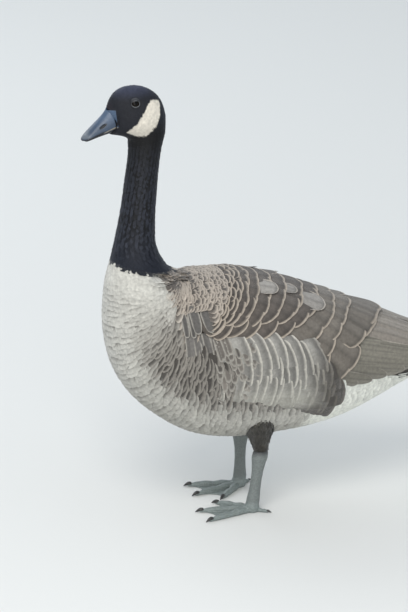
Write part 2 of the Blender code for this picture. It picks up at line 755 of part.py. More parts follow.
def rectrix(k, side, home):
    """A tail feather: k counts out from the middle pair, which lie on top."""
    spread = (k + 0.5) * TAIL_SPREAD / RECTRICES
    start = (k + 0.5) * TAIL_ROOT_HALF / RECTRICES
    top = -RECTRIX_STEP * k - (RECTRIX_STEP * 0.5 if side < 0 else 0)
    rings = []
    for share, wide in RECTRIX_OUTLINE:
        along = RECTRIX_START + (RECTRIX_LENGTH - RECTRIX_TRIM * k - RECTRIX_START) * share
        thick = VANE_THICK + 0.0006 * (1 - share)
        ends = []
        for t in (-1, 1):
            reach = side * (start + along * math.sin(spread)) + t * wide * RECTRIX_WIDTH / 2
            ends.append((along * math.cos(spread), reach))
        upper = [tail_point(a, x, top) for a, x in ends]
        rings.append(upper + [tail_point(a, x, top - thick) for a, x in ends[::-1]])
    return loft("rectrix", rings, home)


def tail_covert(start, length, across, over, home):
    """A short feather over the tail's root, or under it where over is -1."""
    rings = []
    for share, wide in SHORT_OUTLINE:
        y = start + length * share * (1 - 0.12 * abs(across))
        back, belly, half = (np.interp(y, TAIL_CORE_ROWS[:, 0], TAIL_CORE_ROWS[:, k]) for k in (1, 2, 3))
        ring = ([], [])
        for t in (-1, 1):
            turn = across * 0.95 + t * wide * COVERT_WIDTH / 2 / half
            lift = COVERT_RISE * (share - 0.2)
            for side, out in zip(ring, (lift, -0.003)):
                height = (back - belly) / 2 + out
                side.append(
                    Vector(((half + out) * math.sin(turn), y, (back + belly) / 2 + over * height * math.cos(turn)))
                )
        rings.append(ring[0] + ring[1][::-1])
    return loft("covert", rings, home)


TAIL_CORE_ROWS = np.array([(s.back[0], s.back[1], s.belly[1], s.half_width) for s in between(TAIL_CORE, 2)])


class Leg(NamedTuple):
    """One leg: its side, where its heel and ankle stand behind the model's heel line, and its toes' turn."""

    side: int
    heel: float
    ankle: float
    toe_in: float


LEGS = {
    "left": Leg(1, -0.004, 0.009, math.radians(14)),
    "right": Leg(-1, 0.010, 0.010, math.radians(15)),
}


def level_rings(path, radii, sides, narrow=1.0):
    """Level rings at each point of a path: narrow is their width as a share of their length."""
    rings = []
    for centre, radius in zip(path, radii):
        rings.append([centre + Vector((p.x * narrow, p.y, 0)) for p in circle(radius, sides)])
    return rings


def build_thigh(name, leg, home, swollen):
    heights = (THIGH_TOP, 0.130, 0.112, 0.100, SHANK_TOP + GAP)
    radii = (0.032, 0.026, 0.018, 0.0130, 0.0098)
    path = [Vector((leg.side * ANKLE_OUT, leg.ankle + 0.10 * (SHANK_TOP - h), h)) for h in heights]
    thigh = loft("thigh_" + name, level_rings(path, radii, 18), home)
    cut(thigh, swollen)
    return thigh


def build_shank(name, leg, home):
    heights = (SHANK_TOP, 0.084, 0.077, 0.069, 0.058, 0.044, 0.030, 0.020, SHANK_FOOT)
    radii = (0.0098, 0.0112, 0.0116, 0.0100, 0.0084, 0.0080, 0.0084, 0.0094, 0.0098)
    path = []
    for h in heights:
        share = (h - SHANK_FOOT) / (SHANK_TOP - SHANK_FOOT)
        out = FOOT_OUT + (ANKLE_OUT - FOOT_OUT) * share
        path.append(Vector((leg.side * out, leg.heel + (leg.ankle - leg.heel) * share, h)))
    return loft("shank_" + name, level_rings(path, radii, 16, SHANK_NARROW), home)


def build_foot(name, leg, home, floor):
    heel = Vector((leg.side * FOOT_OUT, leg.heel, 0))
    turn = Matrix.Rotation(-leg.side * leg.toe_in, 3, "Z")
    toes = (("inner", -32, 0.058), ("middle", 0, 0.074), ("outer", 31, 0.073))
    pieces = [knuckle(heel, home)]
    tips = []
    for toe, spread, length in toes:
        ahead = turn @ Matrix.Rotation(leg.side * math.radians(spread), 3, "Z") @ Vector((0, -1, 0))
        pieces += build_toe(toe, heel, ahead, length, home)
        tips.append(heel + ahead * length * 0.93)
    back = turn @ Matrix.Rotation(-leg.side * math.radians(20), 3, "Z") @ Vector((0, 1, 0))
    pieces += build_toe("hind", heel + back * 0.004, back, 0.019, home, 0.62)
    pieces.append(web(heel, tips, home))
    foot = fuse("foot_" + name, pieces, home)
    cut(foot, floor)
    return foot


def knuckle(heel, home):
    """The joint that the toes spread from, flat on top where the shank meets it."""
    rings = []
    for height, radius in ((-0.004, 0.0070), (0.002, 0.0095), (0.007, 0.0105), (0.011, 0.0100)):
        rings.append([heel + Vector((0, -0.001, height)) + p for p in circle(radius, 14)])
    rings.append([heel + Vector((0, 0, SHANK_FOOT - GAP)) + p for p in circle(0.0092, 14)])
    return loft("knuckle", rings, home)


def circle(radius, sides):
    turn = [2 * math.pi * k / sides for k in range(sides)]
    return [Vector((radius * math.cos(a), radius * math.sin(a), 0)) for a in turn]


def build_toe(name, root, ahead, length, home, scale=1.0):
    """A toe of jointed pads with a blunt claw, lying on the floor."""
    joints = (0.0, 0.20, 0.34, 0.50, 0.66, 0.84, 1.0)
    swell = (1.25, 1.00, 1.14, 0.90, 1.02, 0.82, 0.48)
    radii = [TOE_RADIUS * scale * s for s in swell]
    path = [root + ahead * length * j + Vector((0, 0, r * 0.72)) for j, r in zip(joints, radii)]
    toe = loft("toe_" + name, tube_rings(path, radii, 7, 0.9), home)
    tip = root + ahead * length * 0.95
    reach = (0.0, 0.003, 0.0065, 0.009)
    rise = (0.0030, 0.0036, 0.0028, 0.0010)
    thick = (0.0024, 0.0023, 0.0016, 0.0006)
    spine = [tip + ahead * a * scale + Vector((0, 0, z * scale)) for a, z in zip(reach, rise)]
    claw = loft("claw_" + name, tube_rings(spine, [t * scale for t in thick], 5), home)
    return [toe, claw]


def web(heel, tips, home):
    """The skin between the three front toes, with a hollow front edge."""
    edge = [heel]
    for near, far in zip(tips, tips[1:]):
        middle = (near + far) / 2
        bow = (heel - middle) * 0.16
        for k in range(7):
            t = k / 6
            edge.append(near.lerp(far, t) + bow * 4 * t * (1 - t))
    bm = bmesh.new()
    levels = []
    for height in (0.0, WEB_THICK):
        levels.append([bm.verts.new(p + Vector((0, 0, height))) for p in edge])
    for level in levels:
        bm.faces.new(level)
    for i in range(len(edge)):
        j = (i + 1) % len(edge)
        bm.faces.new((levels[0][i], levels[0][j], levels[1][j], levels[1][i]))
    made = mesh_object("web", bm, home)
    merge_close(made)
    return made


def merge_close(obj):
    bm = bmesh.new()
    bm.from_mesh(obj.data)
    bmesh.ops.remove_doubles(bm, verts=bm.verts, dist=1e-5)
    bmesh.ops.recalc_face_normals(bm, faces=bm.faces)
    bm.to_mesh(obj.data)
    bm.free()


def floor_cutter(home):
    bm = bmesh.new()
    bmesh.ops.create_cube(bm, size=1.0, matrix=Matrix.Translation((0, 0, -0.5)))
    made = mesh_object("below_floor", bm, home)
    made.hide_render = True
    return made


def material(name):
    colour, roughness = COLOURS[name]
    made = bpy.data.materials.new(name)
    made.use_nodes = True
    shader = made.node_tree.nodes["Principled BSDF"]
    shader.inputs["Base Color"].default_value = (*colour, 1)
    shader.inputs["Roughness"].default_value = roughness
    return made


def finish_of(name):
    """The material that a node takes."""
    for start, finish in (
        ("head", "black_plumage"),
        ("neck", "black_plumage"),
        ("tail", "black_plumage"),
        ("torso", "pale_plumage"),
        ("thigh", "pale_plumage"),
        ("wing", "brown_plumage"),
        ("bill", "bill_horn"),
        ("eye", "eye"),
    ):
        if name.startswith(start):
            return finish
    return "leg_skin"


def main():
    clear_scene()
    goose = collection("canada_goose")
    cutters = collection("cutters")
    torso = build_torso(goose)
    swollen = grown(torso, GAP, cutters)
    build_neck(goose)
    build_head(goose, cutters)
    build_bill(goose, cutters)
    place = head_matrix()
    for name, side in (("left", 1), ("right", -1)):
        ball("eye_" + name, side, EYE_RADIUS, place, goose)
    tail = build_tail(goose)
    build_wings(goose, [swollen, grown(tail, GAP, cutters)])
    floor = floor_cutter(cutters)
    for name, leg in LEGS.items():
        build_thigh(name, leg, goose, swollen)
        build_shank(name, leg, goose)
        build_foot(name, leg, goose, floor)
    for obj in goose.objects:
        obj.data.transform(Matrix.Translation((0, -FEET_AHEAD, 0)))
        obj.data.materials.clear()
        obj.data.materials.append(material(finish_of(obj.name)))
        obj.data.shade_smooth()
    for obj in list(cutters.objects):
        bpy.data.objects.remove(obj)


main()
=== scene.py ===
"""Looks of a standing Canada goose: skin, plumage, bill, eyes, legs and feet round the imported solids."""

import math
from typing import NamedTuple

import bmesh
import bpy
import numpy as np
from mathutils import Matrix, Vector
from mathutils.bvhtree import BVHTree

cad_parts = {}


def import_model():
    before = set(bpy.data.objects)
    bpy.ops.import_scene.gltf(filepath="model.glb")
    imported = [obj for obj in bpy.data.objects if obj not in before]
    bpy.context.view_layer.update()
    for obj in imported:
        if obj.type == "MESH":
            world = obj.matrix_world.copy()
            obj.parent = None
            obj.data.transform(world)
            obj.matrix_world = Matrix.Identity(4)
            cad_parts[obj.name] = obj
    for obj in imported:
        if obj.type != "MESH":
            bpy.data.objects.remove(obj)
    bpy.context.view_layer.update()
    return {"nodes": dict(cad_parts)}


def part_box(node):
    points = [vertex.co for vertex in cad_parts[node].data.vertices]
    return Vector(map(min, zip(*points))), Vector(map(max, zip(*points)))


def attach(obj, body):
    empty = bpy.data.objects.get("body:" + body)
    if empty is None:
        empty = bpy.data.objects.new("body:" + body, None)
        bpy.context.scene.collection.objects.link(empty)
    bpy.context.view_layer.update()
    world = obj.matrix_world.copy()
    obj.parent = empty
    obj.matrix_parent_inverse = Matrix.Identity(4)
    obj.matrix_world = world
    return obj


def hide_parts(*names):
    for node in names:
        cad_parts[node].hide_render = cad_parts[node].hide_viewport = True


# Places along the bird are read from its heels, which stand this far ahead of the frame's origin
FEET_AHEAD = 0.0642
HEELS = np.array((0.0, -FEET_AHEAD, 0.0))
SIDE_NAMES = {1: "left", -1: "right"}

# The camera: where it looks, from which side and how high, how far off, and its lens
VIEW_AT = (-0.1008, -0.0904, 0.2548)
VIEW_AZIMUTH = 72
VIEW_ELEVATION = 19
VIEW_DISTANCE = 8.0
VIEW_LENS = 336.1

# How the head is held: the y of the upright line that it turns about, its turn to the left, the heights
# between which the neck takes the turn up, and its pitch down
NECK_TURNS_AT = -0.150
HEAD_TURN = math.radians(7)
TURN_STARTS, TURN_ENDS = 0.428, 0.550
HEAD_PITCH = math.radians(12)

# Rings round the body from the bill's base back to the tail: the ring's middle (y, z), how many degrees
# its back lies up from level, how far its sides lie behind, and how far out it is searched for skin
RINGS = (
    (-0.1990, 0.5735, 95, 0.0080, 0.05),  # bill's base
    (-0.1940, 0.5803, 88, 0.0045, 0.05),
    (-0.1813, 0.5858, 77, 0.0012, 0.05),
    (-0.1707, 0.5854, 65, 0.0003, 0.05),  # crown
    (-0.1622, 0.5824, 55, 0.0, 0.05),
    (-0.1558, 0.5787, 47, 0.0, 0.05),
    (-0.1509, 0.5741, 39, 0.0, 0.05),
    (-0.1466, 0.5668, 30, 0.0, 0.05),  # nape
    (-0.1434, 0.5596, 22, 0.0, 0.05),
    (-0.1409, 0.5465, 8, 0.0, 0.05),
    (-0.1445, 0.5200, 1, 0.0, 0.05),  # neck
    (-0.1523, 0.4560, 0, 0.0, 0.06),
    (-0.1554, 0.4285, -1, 0.0, 0.07),
    (-0.1582, 0.3995, -7, 0.0, 0.08),
    (-0.1548, 0.3765, -13, 0.0, 0.09),
    (-0.1478, 0.3570, -15, 0.0, 0.10),  # edge of the black
    (-0.1512, 0.3388, 5, 0.0, 0.12),
    (-0.1518, 0.3138, 29, 0.0, 0.15),
    (-0.1468, 0.2853, 49, 0.0, 0.16),  # breast
    (-0.1320, 0.2603, 64, 0.0, 0.17),
    (-0.1075, 0.2403, 77, 0.0, 0.17),
    (-0.0725, 0.2240, 86, 0.0, 0.17),
    (-0.0250, 0.2160, 90, 0.0, 0.17),
    (0.0300, 0.2095, 90, 0.0, 0.17),  # over the legs
    (0.0850, 0.1995, 90, 0.0, 0.16),
    (0.1400, 0.1910, 90, 0.0, 0.15),
    (0.1900, 0.1865, 90, 0.0, 0.13),
    (0.2280, 0.1850, 90, 0.0, 0.11),  # tail's root
    (0.2450, 0.1838, 90, 0.0, 0.10),
    (0.2680, 0.1818, 90, 0.0, 0.09),
    (0.2900, 0.1782, 90, 0.0, 0.08),
)
BLACK_EDGE = 15.0  # the number of the ring that the neck's black ends at
RING_STEP = 0.0025  # between the rows of the body's grid
COLUMNS = 96  # places round each row

# The surface that a closed wing lies in: y, ridge, widest height, lowest height and half-width there
WING_BED = (
    (-0.118, 0.328, 0.268, 0.206, 0.0905),
    (-0.100, 0.334, 0.266, 0.198, 0.0965),
    (-0.070, 0.340, 0.262, 0.180, 0.1035),
    (-0.020, 0.3375, 0.254, 0.170, 0.106),
    (0.035, 0.3255, 0.244, 0.158, 0.102),
    (0.090, 0.3045, 0.232, 0.146, 0.094),
    (0.140, 0.2850, 0.221, 0.140, 0.083),
    (0.190, 0.2645, 0.212, 0.141, 0.069),
    (0.240, 0.2385, 0.203, 0.150, 0.053),
    (0.300, 0.2120, 0.194, 0.170, 0.034),
    (0.355, 0.1910, 0.185, 0.177, 0.012),
)
# Where the closed wing's upper and lower edges run: y, and degrees round from the ridge
WING_EDGES = (
    (-0.112, 58, 84),
    (-0.100, 38, 98),
    (-0.070, 22, 108),
    (-0.020, 10, 116),
    (0.050, 5, 118),
    (0.140, 2, 119),
    (0.215, 2, 117),
    (0.250, 10, 115),
    (0.290, 46, 112),
    (0.334, 84, 106),
)

# Tail fan: its root (y, z), slope, half-spread and feathers on each side
TAIL_ROOT = (0.226, 0.194)
TAIL_SLOPE = math.radians(-10.5)
TAIL_SPREAD = math.radians(13)
TAIL_ROOT_HALF = 0.022
TAIL_LENGTH = 0.142
RECTRICES = 8
TAIL_NARROW = 0.6  # how much closer together its feathers start
TAIL_HIDDEN = 0.02  # how far behind the root they come into view
TAIL_BLACK, TAIL_RIM = (0.014, 0.012, 0.012), (0.060, 0.053, 0.048)
# The grid of the surface that it lies on: its length, its half-width and how many cells each way
TAIL_REACH, TAIL_HALF, TAIL_CELLS = 0.16, 0.07, 40

# Colours of the plumage, linear
FACE = (0.013, 0.014, 0.019)
# The crown's bluish colour is a painted sheen on the black plumage
CROWN_SHEEN = (0.043, 0.049, 0.080)
FOREHEAD = (0.030, 0.021, 0.027)
NECK_BLACK = (0.004, 0.004, 0.0045)
# A painted sheen on the ridges of the neck's furrows
NECK_RIDGE_SHEEN = (0.025, 0.028, 0.039)
LOW_NECK = (0.010, 0.012, 0.019)
WHITE = (0.86, 0.865, 0.79)
CHEEK = (0.67, 0.625, 0.545)
BREAST = (0.57, 0.555, 0.505)
BREAST_BAR = (0.30, 0.285, 0.255)
SIDE = (0.255, 0.234, 0.205)
SIDE_BAR = (0.070, 0.062, 0.054)
LOW = (0.40, 0.386, 0.34)
LOW_BAR = (0.22, 0.205, 0.175)
FLANK = (0.365, 0.350, 0.320)
FLANK_EDGE = (0.56, 0.53, 0.47)
LOBE = (0.060, 0.052, 0.044)
LOBE_EDGE = (0.13, 0.115, 0.095)
FRONT_RIM = (0.33, 0.308, 0.272)
BEND = (0.118, 0.110, 0.102)
BROWN = (0.108, 0.091, 0.078)
MANTLE = (0.145, 0.126, 0.110)
BUFF = (0.41, 0.35, 0.285)
MANTLE_BUFF = (0.445, 0.385, 0.322)
COVERT = (0.165, 0.145, 0.122)
SECONDARY = (0.205, 0.190, 0.155)
SECONDARY_EDGE = (0.34, 0.31, 0.27)
TERTIAL = (0.27, 0.24, 0.205)
TERTIAL_EDGE = (0.42, 0.38, 0.33)
PRIMARY = (0.045, 0.038, 0.033)
PRIMARY_EDGE = (0.09, 0.08, 0.07)
PALE_BROWN = (0.325, 0.302, 0.275)
PALE_EDGE = (0.46, 0.415, 0.36)


def turn_of_neck(height):
    """How much of the head's turn the neck has taken at a height."""
    share = min(1.0, max(0.0, (height - TURN_STARTS) / (TURN_ENDS - TURN_STARTS)))
    return HEAD_TURN * share * share * (3 - 2 * share)


def smooth_rows(rows, per_span):
    """Sets more rows between the given ones, on a curve through them that never overshoots."""
    rows = np.array(rows, float)
    step = np.diff(rows, axis=0)
    before, after = step[:-1], step[1:]
    both = before * after
    inner = np.where(both > 0, 2 * both / np.where(both > 0, before + after, 1), 0)
    slope = np.vstack([step[:1], inner, step[-1:]])
    made = [rows[0]]
    for i in range(len(step)):
        for k in range(1, per_span + 1):
            t = k / per_span
            rise = t * t * (3 - 2 * t)
            here = rows[i] + rise * step[i] + t * (1 - t) ** 2 * slope[i]
            made.append(here + t * t * (t - 1) * slope[i + 1])
    return np.array(made)


def ease(value, low, high):
    """0 up to low, 1 from high, and smooth between."""
    t = np.clip((value - low) / (high - low), 0, 1)
    return t * t * (3 - 2 * t)


def unit(vectors):
    return vectors / np.maximum(np.linalg.norm(vectors, axis=-1, keepdims=True), 1e-12)


def tree_of(nodes, names):
    """A search tree of some CAD nodes together, read from the heels."""
    points, faces = [], []
    for name in names:
        mesh = nodes[name].data
        first = len(points)
        points += [v.co - Vector(HEELS) for v in mesh.vertices]
        faces += [tuple(first + i for i in p.vertices) for p in mesh.polygons]
    return BVHTree.FromPolygons(points, faces)


class Surface(NamedTuple):
    """A grid of points over a surface, with its normals and the metres between its rows and columns."""

    points: np.ndarray
    normals: np.ndarray
    along: np.ndarray
    around: np.ndarray
    wraps: bool


def surface_of(points, wraps):
    step_u = np.gradient(points, axis=0)
    if wraps:
        step_v = (np.roll(points, -1, axis=1) - np.roll(points, 1, axis=1)) / 2
    else:
        step_v = np.gradient(points, axis=1)
    normals = unit(np.cross(step_v, step_u))
    along = np.linalg.norm(step_u, axis=-1)
    around = np.maximum(np.linalg.norm(step_v, axis=-1), 1e-5)
    return Surface(points, normals, along, around, wraps)


def read(surface, field, u, v):
    """A field of the surface's grid, read between its rows and columns."""
    rows, columns = surface.points.shape[:2]
    u = np.clip(u, 0, rows - 1.001)
    v = v % columns if surface.wraps else np.clip(v, 0, columns - 1.001)
    i, j = u.astype(int), v.astype(int)
    k = (j + 1) % columns
    f, g = u - i, v - j
    if field.ndim == 3:
        f, g = f[..., None], g[..., None]
    near = field[i, j] * (1 - g) + field[i, k] * g
    far = field[i + 1, j] * (1 - g) + field[i + 1, k] * g
    return near * (1 - f) + far * f


def cast_rings(rings, tree):
    """Where each ring meets the outer face of a tree's solids, as distances from its middle."""
    found = np.full((len(rings), COLUMNS), np.nan)
    origins = np.zeros((len(rings), COLUMNS, 3))
    ways = np.zeros((len(rings), COLUMNS, 3))
    for i, (y, z, tilt, swept, reach) in enumerate(rings):
        tilt = math.radians(tilt)
        turn = Matrix.Rotation(turn_of_neck(z), 3, "Z")
        axis = Vector((0, NECK_TURNS_AT, 0))
        back = Vector((0, math.cos(tilt), math.sin(tilt)))
        behind = Vector((0, math.sin(tilt), -math.cos(tilt)))
        for j in range(COLUMNS):
            angle = 2 * math.pi * j / COLUMNS
            way = turn @ (back * math.cos(angle) + Vector((math.sin(angle), 0, 0)))
            origin = Vector((0, y, z)) + behind * (swept * abs(math.sin(angle)) ** 1.2)
            origin = axis + turn @ (origin - axis)
            origins[i, j], ways[i, j] = origin, way
            hit = tree.ray_cast(origin + way * reach, -way, reach)
            if hit[0] is not None:
                found[i, j] = reach - hit[3]
    return found, origins, ways


def filled(radii):
    """Gaps in the rings take the distance of the ring before or after."""
    for rows in (range(1, len(radii)), range(len(radii) - 2, -1, -1)):
        for i in rows:
            other = radii[i - 1] if rows.step > 0 else radii[i + 1]
            radii[i] = np.where(np.isnan(radii[i]), other, radii[i])
    return radii


def blurred(field, rounds):
    """The field smoothed over neighbouring rings and columns."""
    for _ in range(rounds):
        field = (np.roll(field, 1, 1) + 2 * field + np.roll(field, -1, 1)) / 4
        inner = (field[:-2] + 2 * field[1:-1] + field[2:]) / 4
        field = np.concatenate([field[:1], inner, field[-1:]])
    return field


def even_rows(points, extra):
    """Resamples the rings so that they stand evenly apart, and carries other columns of numbers along."""
    step = np.linalg.norm(np.diff(points, axis=0), axis=-1).mean(1)
    reach = np.concatenate([[0], np.cumsum(step)])
    count = int(reach[-1] / RING_STEP)
    at = np.interp(np.linspace(0, reach[-1], count), reach, np.arange(len(reach)))
    i = np.minimum(at.astype(int), len(points) - 2)
    f = (at - i)[:, None]
    mixed = points[i] * (1 - f[..., None]) + points[i + 1] * f[..., None]
    return mixed, [e[i] * (1 - f) + e[i + 1] * f for e in extra]


class Body(NamedTuple):
    """The flesh's surface, the outer surface of flesh and wings, and how much each place is wing."""

    flesh: Surface
    outer: Surface
    wing: np.ndarray
    ring: np.ndarray  # the number of the ring in RINGS, at each row


def build_body(nodes):
    per_span = 7
    rings = smooth_rows(RINGS, per_span)
    number = np.arange(len(rings))[:, None] / per_span
    flesh_names = ("head", "eye_left", "eye_right", "neck", "torso", "tail")
    radii, origins, ways = cast_rings(rings, tree_of(nodes, flesh_names))
    radii = filled(radii)
    wings = cast_rings(rings, tree_of(nodes, ("wing_left", "wing_right")))[0]
    wings[number[:, 0] < BLACK_EDGE] = np.nan
    on_wing = np.where(np.isnan(wings), 0.0, (wings > radii).astype(float))
    outer = np.where(on_wing > 0, wings, radii)
    soft = ease(number, 12, 18)
    flesh = blurred(radii, 1) * (1 - soft) + blurred(radii, 6) * soft
    outer = blurred(outer, 1) * (1 - soft) + blurred(outer, 3) * soft
    fields = [on_wing, np.repeat(number, COLUMNS, 1)]
    flesh_points, _ = even_rows(origins + ways * flesh[..., None], fields)
    outer_points, (on_wing, ring) = even_rows(origins + ways * outer[..., None], fields)
    if len(flesh_points) != len(outer_points):
        rows = np.linspace(0, len(flesh_points) - 1.001, len(outer_points))
        i, f = rows.astype(int), (rows % 1)[:, None, None]
        flesh_points = flesh_points[i] * (1 - f) + flesh_points[i + 1] * f
    return Body(surface_of(flesh_points, True), surface_of(outer_points, True), on_wing, ring[:, 0])


def bed_section(bed, y):
    """The closed wing's ridge, widest height, lowest height and half-width at places along it."""
    return (np.interp(y, bed[:, 0], bed[:, k]) for k in (1, 2, 3, 4))


def bed_points(bed, y, angle):
    """Points of the closed wing's surface at places along and round it."""
    ridge, centre, low, half_width = bed_section(bed, y)
    reach = np.where(np.cos(angle) > 0, ridge - centre, centre - low)
    return np.stack([half_width * np.sin(angle), y, centre + reach * np.cos(angle)], -1)


def bed_angle(points):
    """How many degrees round the closed wing's surface points lie, from its ridge on either side."""
    ridge, centre, low, half_width = bed_section(np.array(WING_BED), points[:, 1])
    rise = points[:, 2] - centre
    rise = rise / np.where(rise > 0, ridge - centre, centre - low)
    return np.degrees(np.arctan2(np.abs(points[:, 0]) / half_width, rise))


def wing_edges(y):
    """How many degrees round it the closed wing's upper and lower edges run, at places along it."""
    edges = smooth_rows(WING_EDGES, 4)
    return (np.interp(y, edges[:, 0], edges[:, k]) for k in (1, 2))


class Bed(NamedTuple):
    """A wing's surface, and the y and angle that its grid starts at and steps by."""

    surface: Surface
    start: tuple
    step: tuple


# The bed's grid: the y and the degrees round it where it starts, ends and steps
BED_START, BED_END, BED_STEP = (-0.118, -12.0), (0.356, 181.0), (0.002, 2.0)


def build_bed():
    y, angle = (np.arange(*span) for span in zip(BED_START, BED_END, BED_STEP))
    grid = np.meshgrid(y, np.radians(angle), indexing="ij")
    points = bed_points(smooth_rows(WING_BED, 6), *grid)
    return Bed(surface_of(points, False), BED_START, BED_STEP)


class Template(NamedTuple):
    """A feather's points as shares of its length and half-width, and its triangles."""

    t: np.ndarray
    w: np.ndarray
    under: np.ndarray
    faces: np.ndarray
    uppers: int  # how many of the triangles, the first ones, are on top


def strip(near, far):
    """Triangles between two chains of points that run the same way, told as (number, place) pairs."""
    faces, i, k = [], 0, 0
    while i < len(near) - 1 or k < len(far) - 1:
        if k == len(far) - 1 or (i < len(near) - 1 and near[i + 1][1] <= far[k + 1][1]):
            faces.append((near[i][0], near[i + 1][0], far[k][0]))
            i += 1
        else:
            faces.append((near[i][0], far[k + 1][0], far[k][0]))
            k += 1
    return faces


def feather_template(stations, across, low):
    """An upper grid of points and a sparser lower one, closed into one thin body."""
    ts = 1 - (1 - np.linspace(0, 1, stations)) ** 1.45
    ws = np.sin(np.linspace(-math.pi / 2, math.pi / 2, across))
    lows = np.linspace(-1, 1, low + 2)[1:-1]
    faces, t, w, under = [], [], [], []
    upper = [[i * across + k for k in range(across)] for i in range(stations)]
    first = stations * across
    lower = [[first + i * low + k for k in range(low)] for i in range(stations)]
    for level, places in ((0, ws), (1, lows)):
        for i in range(stations):
            t += [ts[i]] * len(places)
            w += list(places)
            under += [level] * len(places)
    for i in range(stations - 1):
        near, far = upper[i], upper[i + 1]
        for k in range(across - 1):
            faces.append((near[k], near[k + 1], far[k + 1]))
            faces.append((near[k], far[k + 1], far[k]))
    uppers = len(faces)
    whole = [[upper[i][0], *lower[i], upper[i][-1]] for i in range(stations)]
    for i in range(stations - 1):
        near, far = whole[i], whole[i + 1]
        for k in range(low + 1):
            faces.append((near[k + 1], near[k], far[k + 1]))
            faces.append((far[k + 1], near[k], far[k]))
    places = [-1, *lows, 1]
    for i, flip in ((stations - 1, False), (0, True)):
        top = list(zip(upper[i], ws))
        bottom = list(zip(whole[i], places))
        ends = [f for f in strip(top, bottom) if len(set(f)) == 3]
        faces += [f[::-1] for f in ends] if flip else ends
    return Template(np.array(t), np.array(w), np.array(under), np.array(faces), uppers)


class Look(NamedTuple):
    """How a kind of feather is shaped and marked. Widths are shares of the half-width along it."""

    widths: tuple
    blunt: float  # how long the curve of its tip is, as a share of its half-width
    thick: float
    camber: float  # how far its edges droop, as a share of its half-width
    ragged: float  # how uneven its tip is, as a share of its half-width
    side_rim: float  # how far up its sides the pale rim runs, as a share of its length
    band: float  # how dark the band inside the rim is


class Feathers(NamedTuple):
    """Many feathers on one surface: each array has a row for each feather."""

    u: np.ndarray
    v: np.ndarray
    slope: np.ndarray
    length: np.ndarray
    width: np.ndarray
    root: np.ndarray
    tip: np.ndarray
    body: np.ndarray
    rim: np.ndarray
    rim_width: np.ndarray
    rim_fade: np.ndarray
    shaft: np.ndarray


def feathers_of(**fields):
    """Feathers whose fields hold a value for each of them, or one value for all."""
    count = len(fields["u"])
    shapes = {"body": (count, 3), "rim": (count, 3)}
    for name, field in fields.items():
        fields[name] = np.broadcast_to(np.array(field, float), shapes.get(name, count))
    return Feathers(**fields)


SMALL = Look(((0, 0.55), (0.4, 1.0), (1, 0.9)), 1.2, 0.0003, 0.10, 0.10, 0.9, 0.1)
BODY = Look(((0, 0.4), (0.4, 0.95), (0.8, 1.0), (1, 0.95)), 0.40, 0.0003, 0.05, 0.035, 0.10, 0.1)
SIDE_LOOK = Look(((0, 0.5), (0.5, 0.98), (0.8, 1.0), (1, 0.96)), 0.24, 0.0004, 0.04, 0.014, 0.08, 0.5)
WING = Look(((0, 0.5), (0.45, 1.0), (0.8, 1.0), (1, 0.95)), 0.42, 0.0005, 0.06, 0.008, 0.22, 0.4)
MANTLE_LOOK = Look(((0, 0.6), (0.5, 1.0), (1, 0.95)), 0.5, 0.0004, 0.05, 0.03, 0.2, 0.2)
BEND_LOOK = Look(((0, 0.6), (0.35, 1.0), (0.8, 0.95), (1, 0.75)), 1.1, 0.0005, 0.10, 0.010, 1.6, 0.3)
TAIL_LOOK = Look(((0, 0.3), (0.35, 0.85), (0.8, 1.0), (1, 0.8)), 1.25, 0.0005, 0.16, 0.006, 1.6, 0.3)
QUILL = Look(((0, 0.7), (0.5, 1.0), (0.9, 0.9), (1, 0.8)), 1.5, 0.0005, 0.12, 0.008, 0.9, 0.1)


def feather_colours(look, feathers, t, w):
    """Each point's colour: a rim, a darker band inside it, and a dark shaft."""
    length, half = feathers.length[:, None], feathers.width[:, None] / 2
    from_tip = length * (1 - t)
    from_side = half * (1 - np.abs(w)) + length * 0.12 * ease(1 - t, look.side_rim * 0.6, look.side_rim)
    inward = np.minimum(from_tip, from_side)
    start, fade = feathers.rim_width[:, None], feathers.rim_fade[:, None]
    rim = (1 - ease(inward, start, start + fade))[..., None]
    band = (1 - ease(inward, start + fade, start + 5 * fade))[..., None] * look.band
    middle = feathers.body[:, None, :] * (1 - band)
    middle = middle * (1 - feathers.shaft[:, None, None] * (np.abs(w) < 0.12)[..., None])
    return middle * (1 - rim) + feathers.rim[:, None, :] * rim


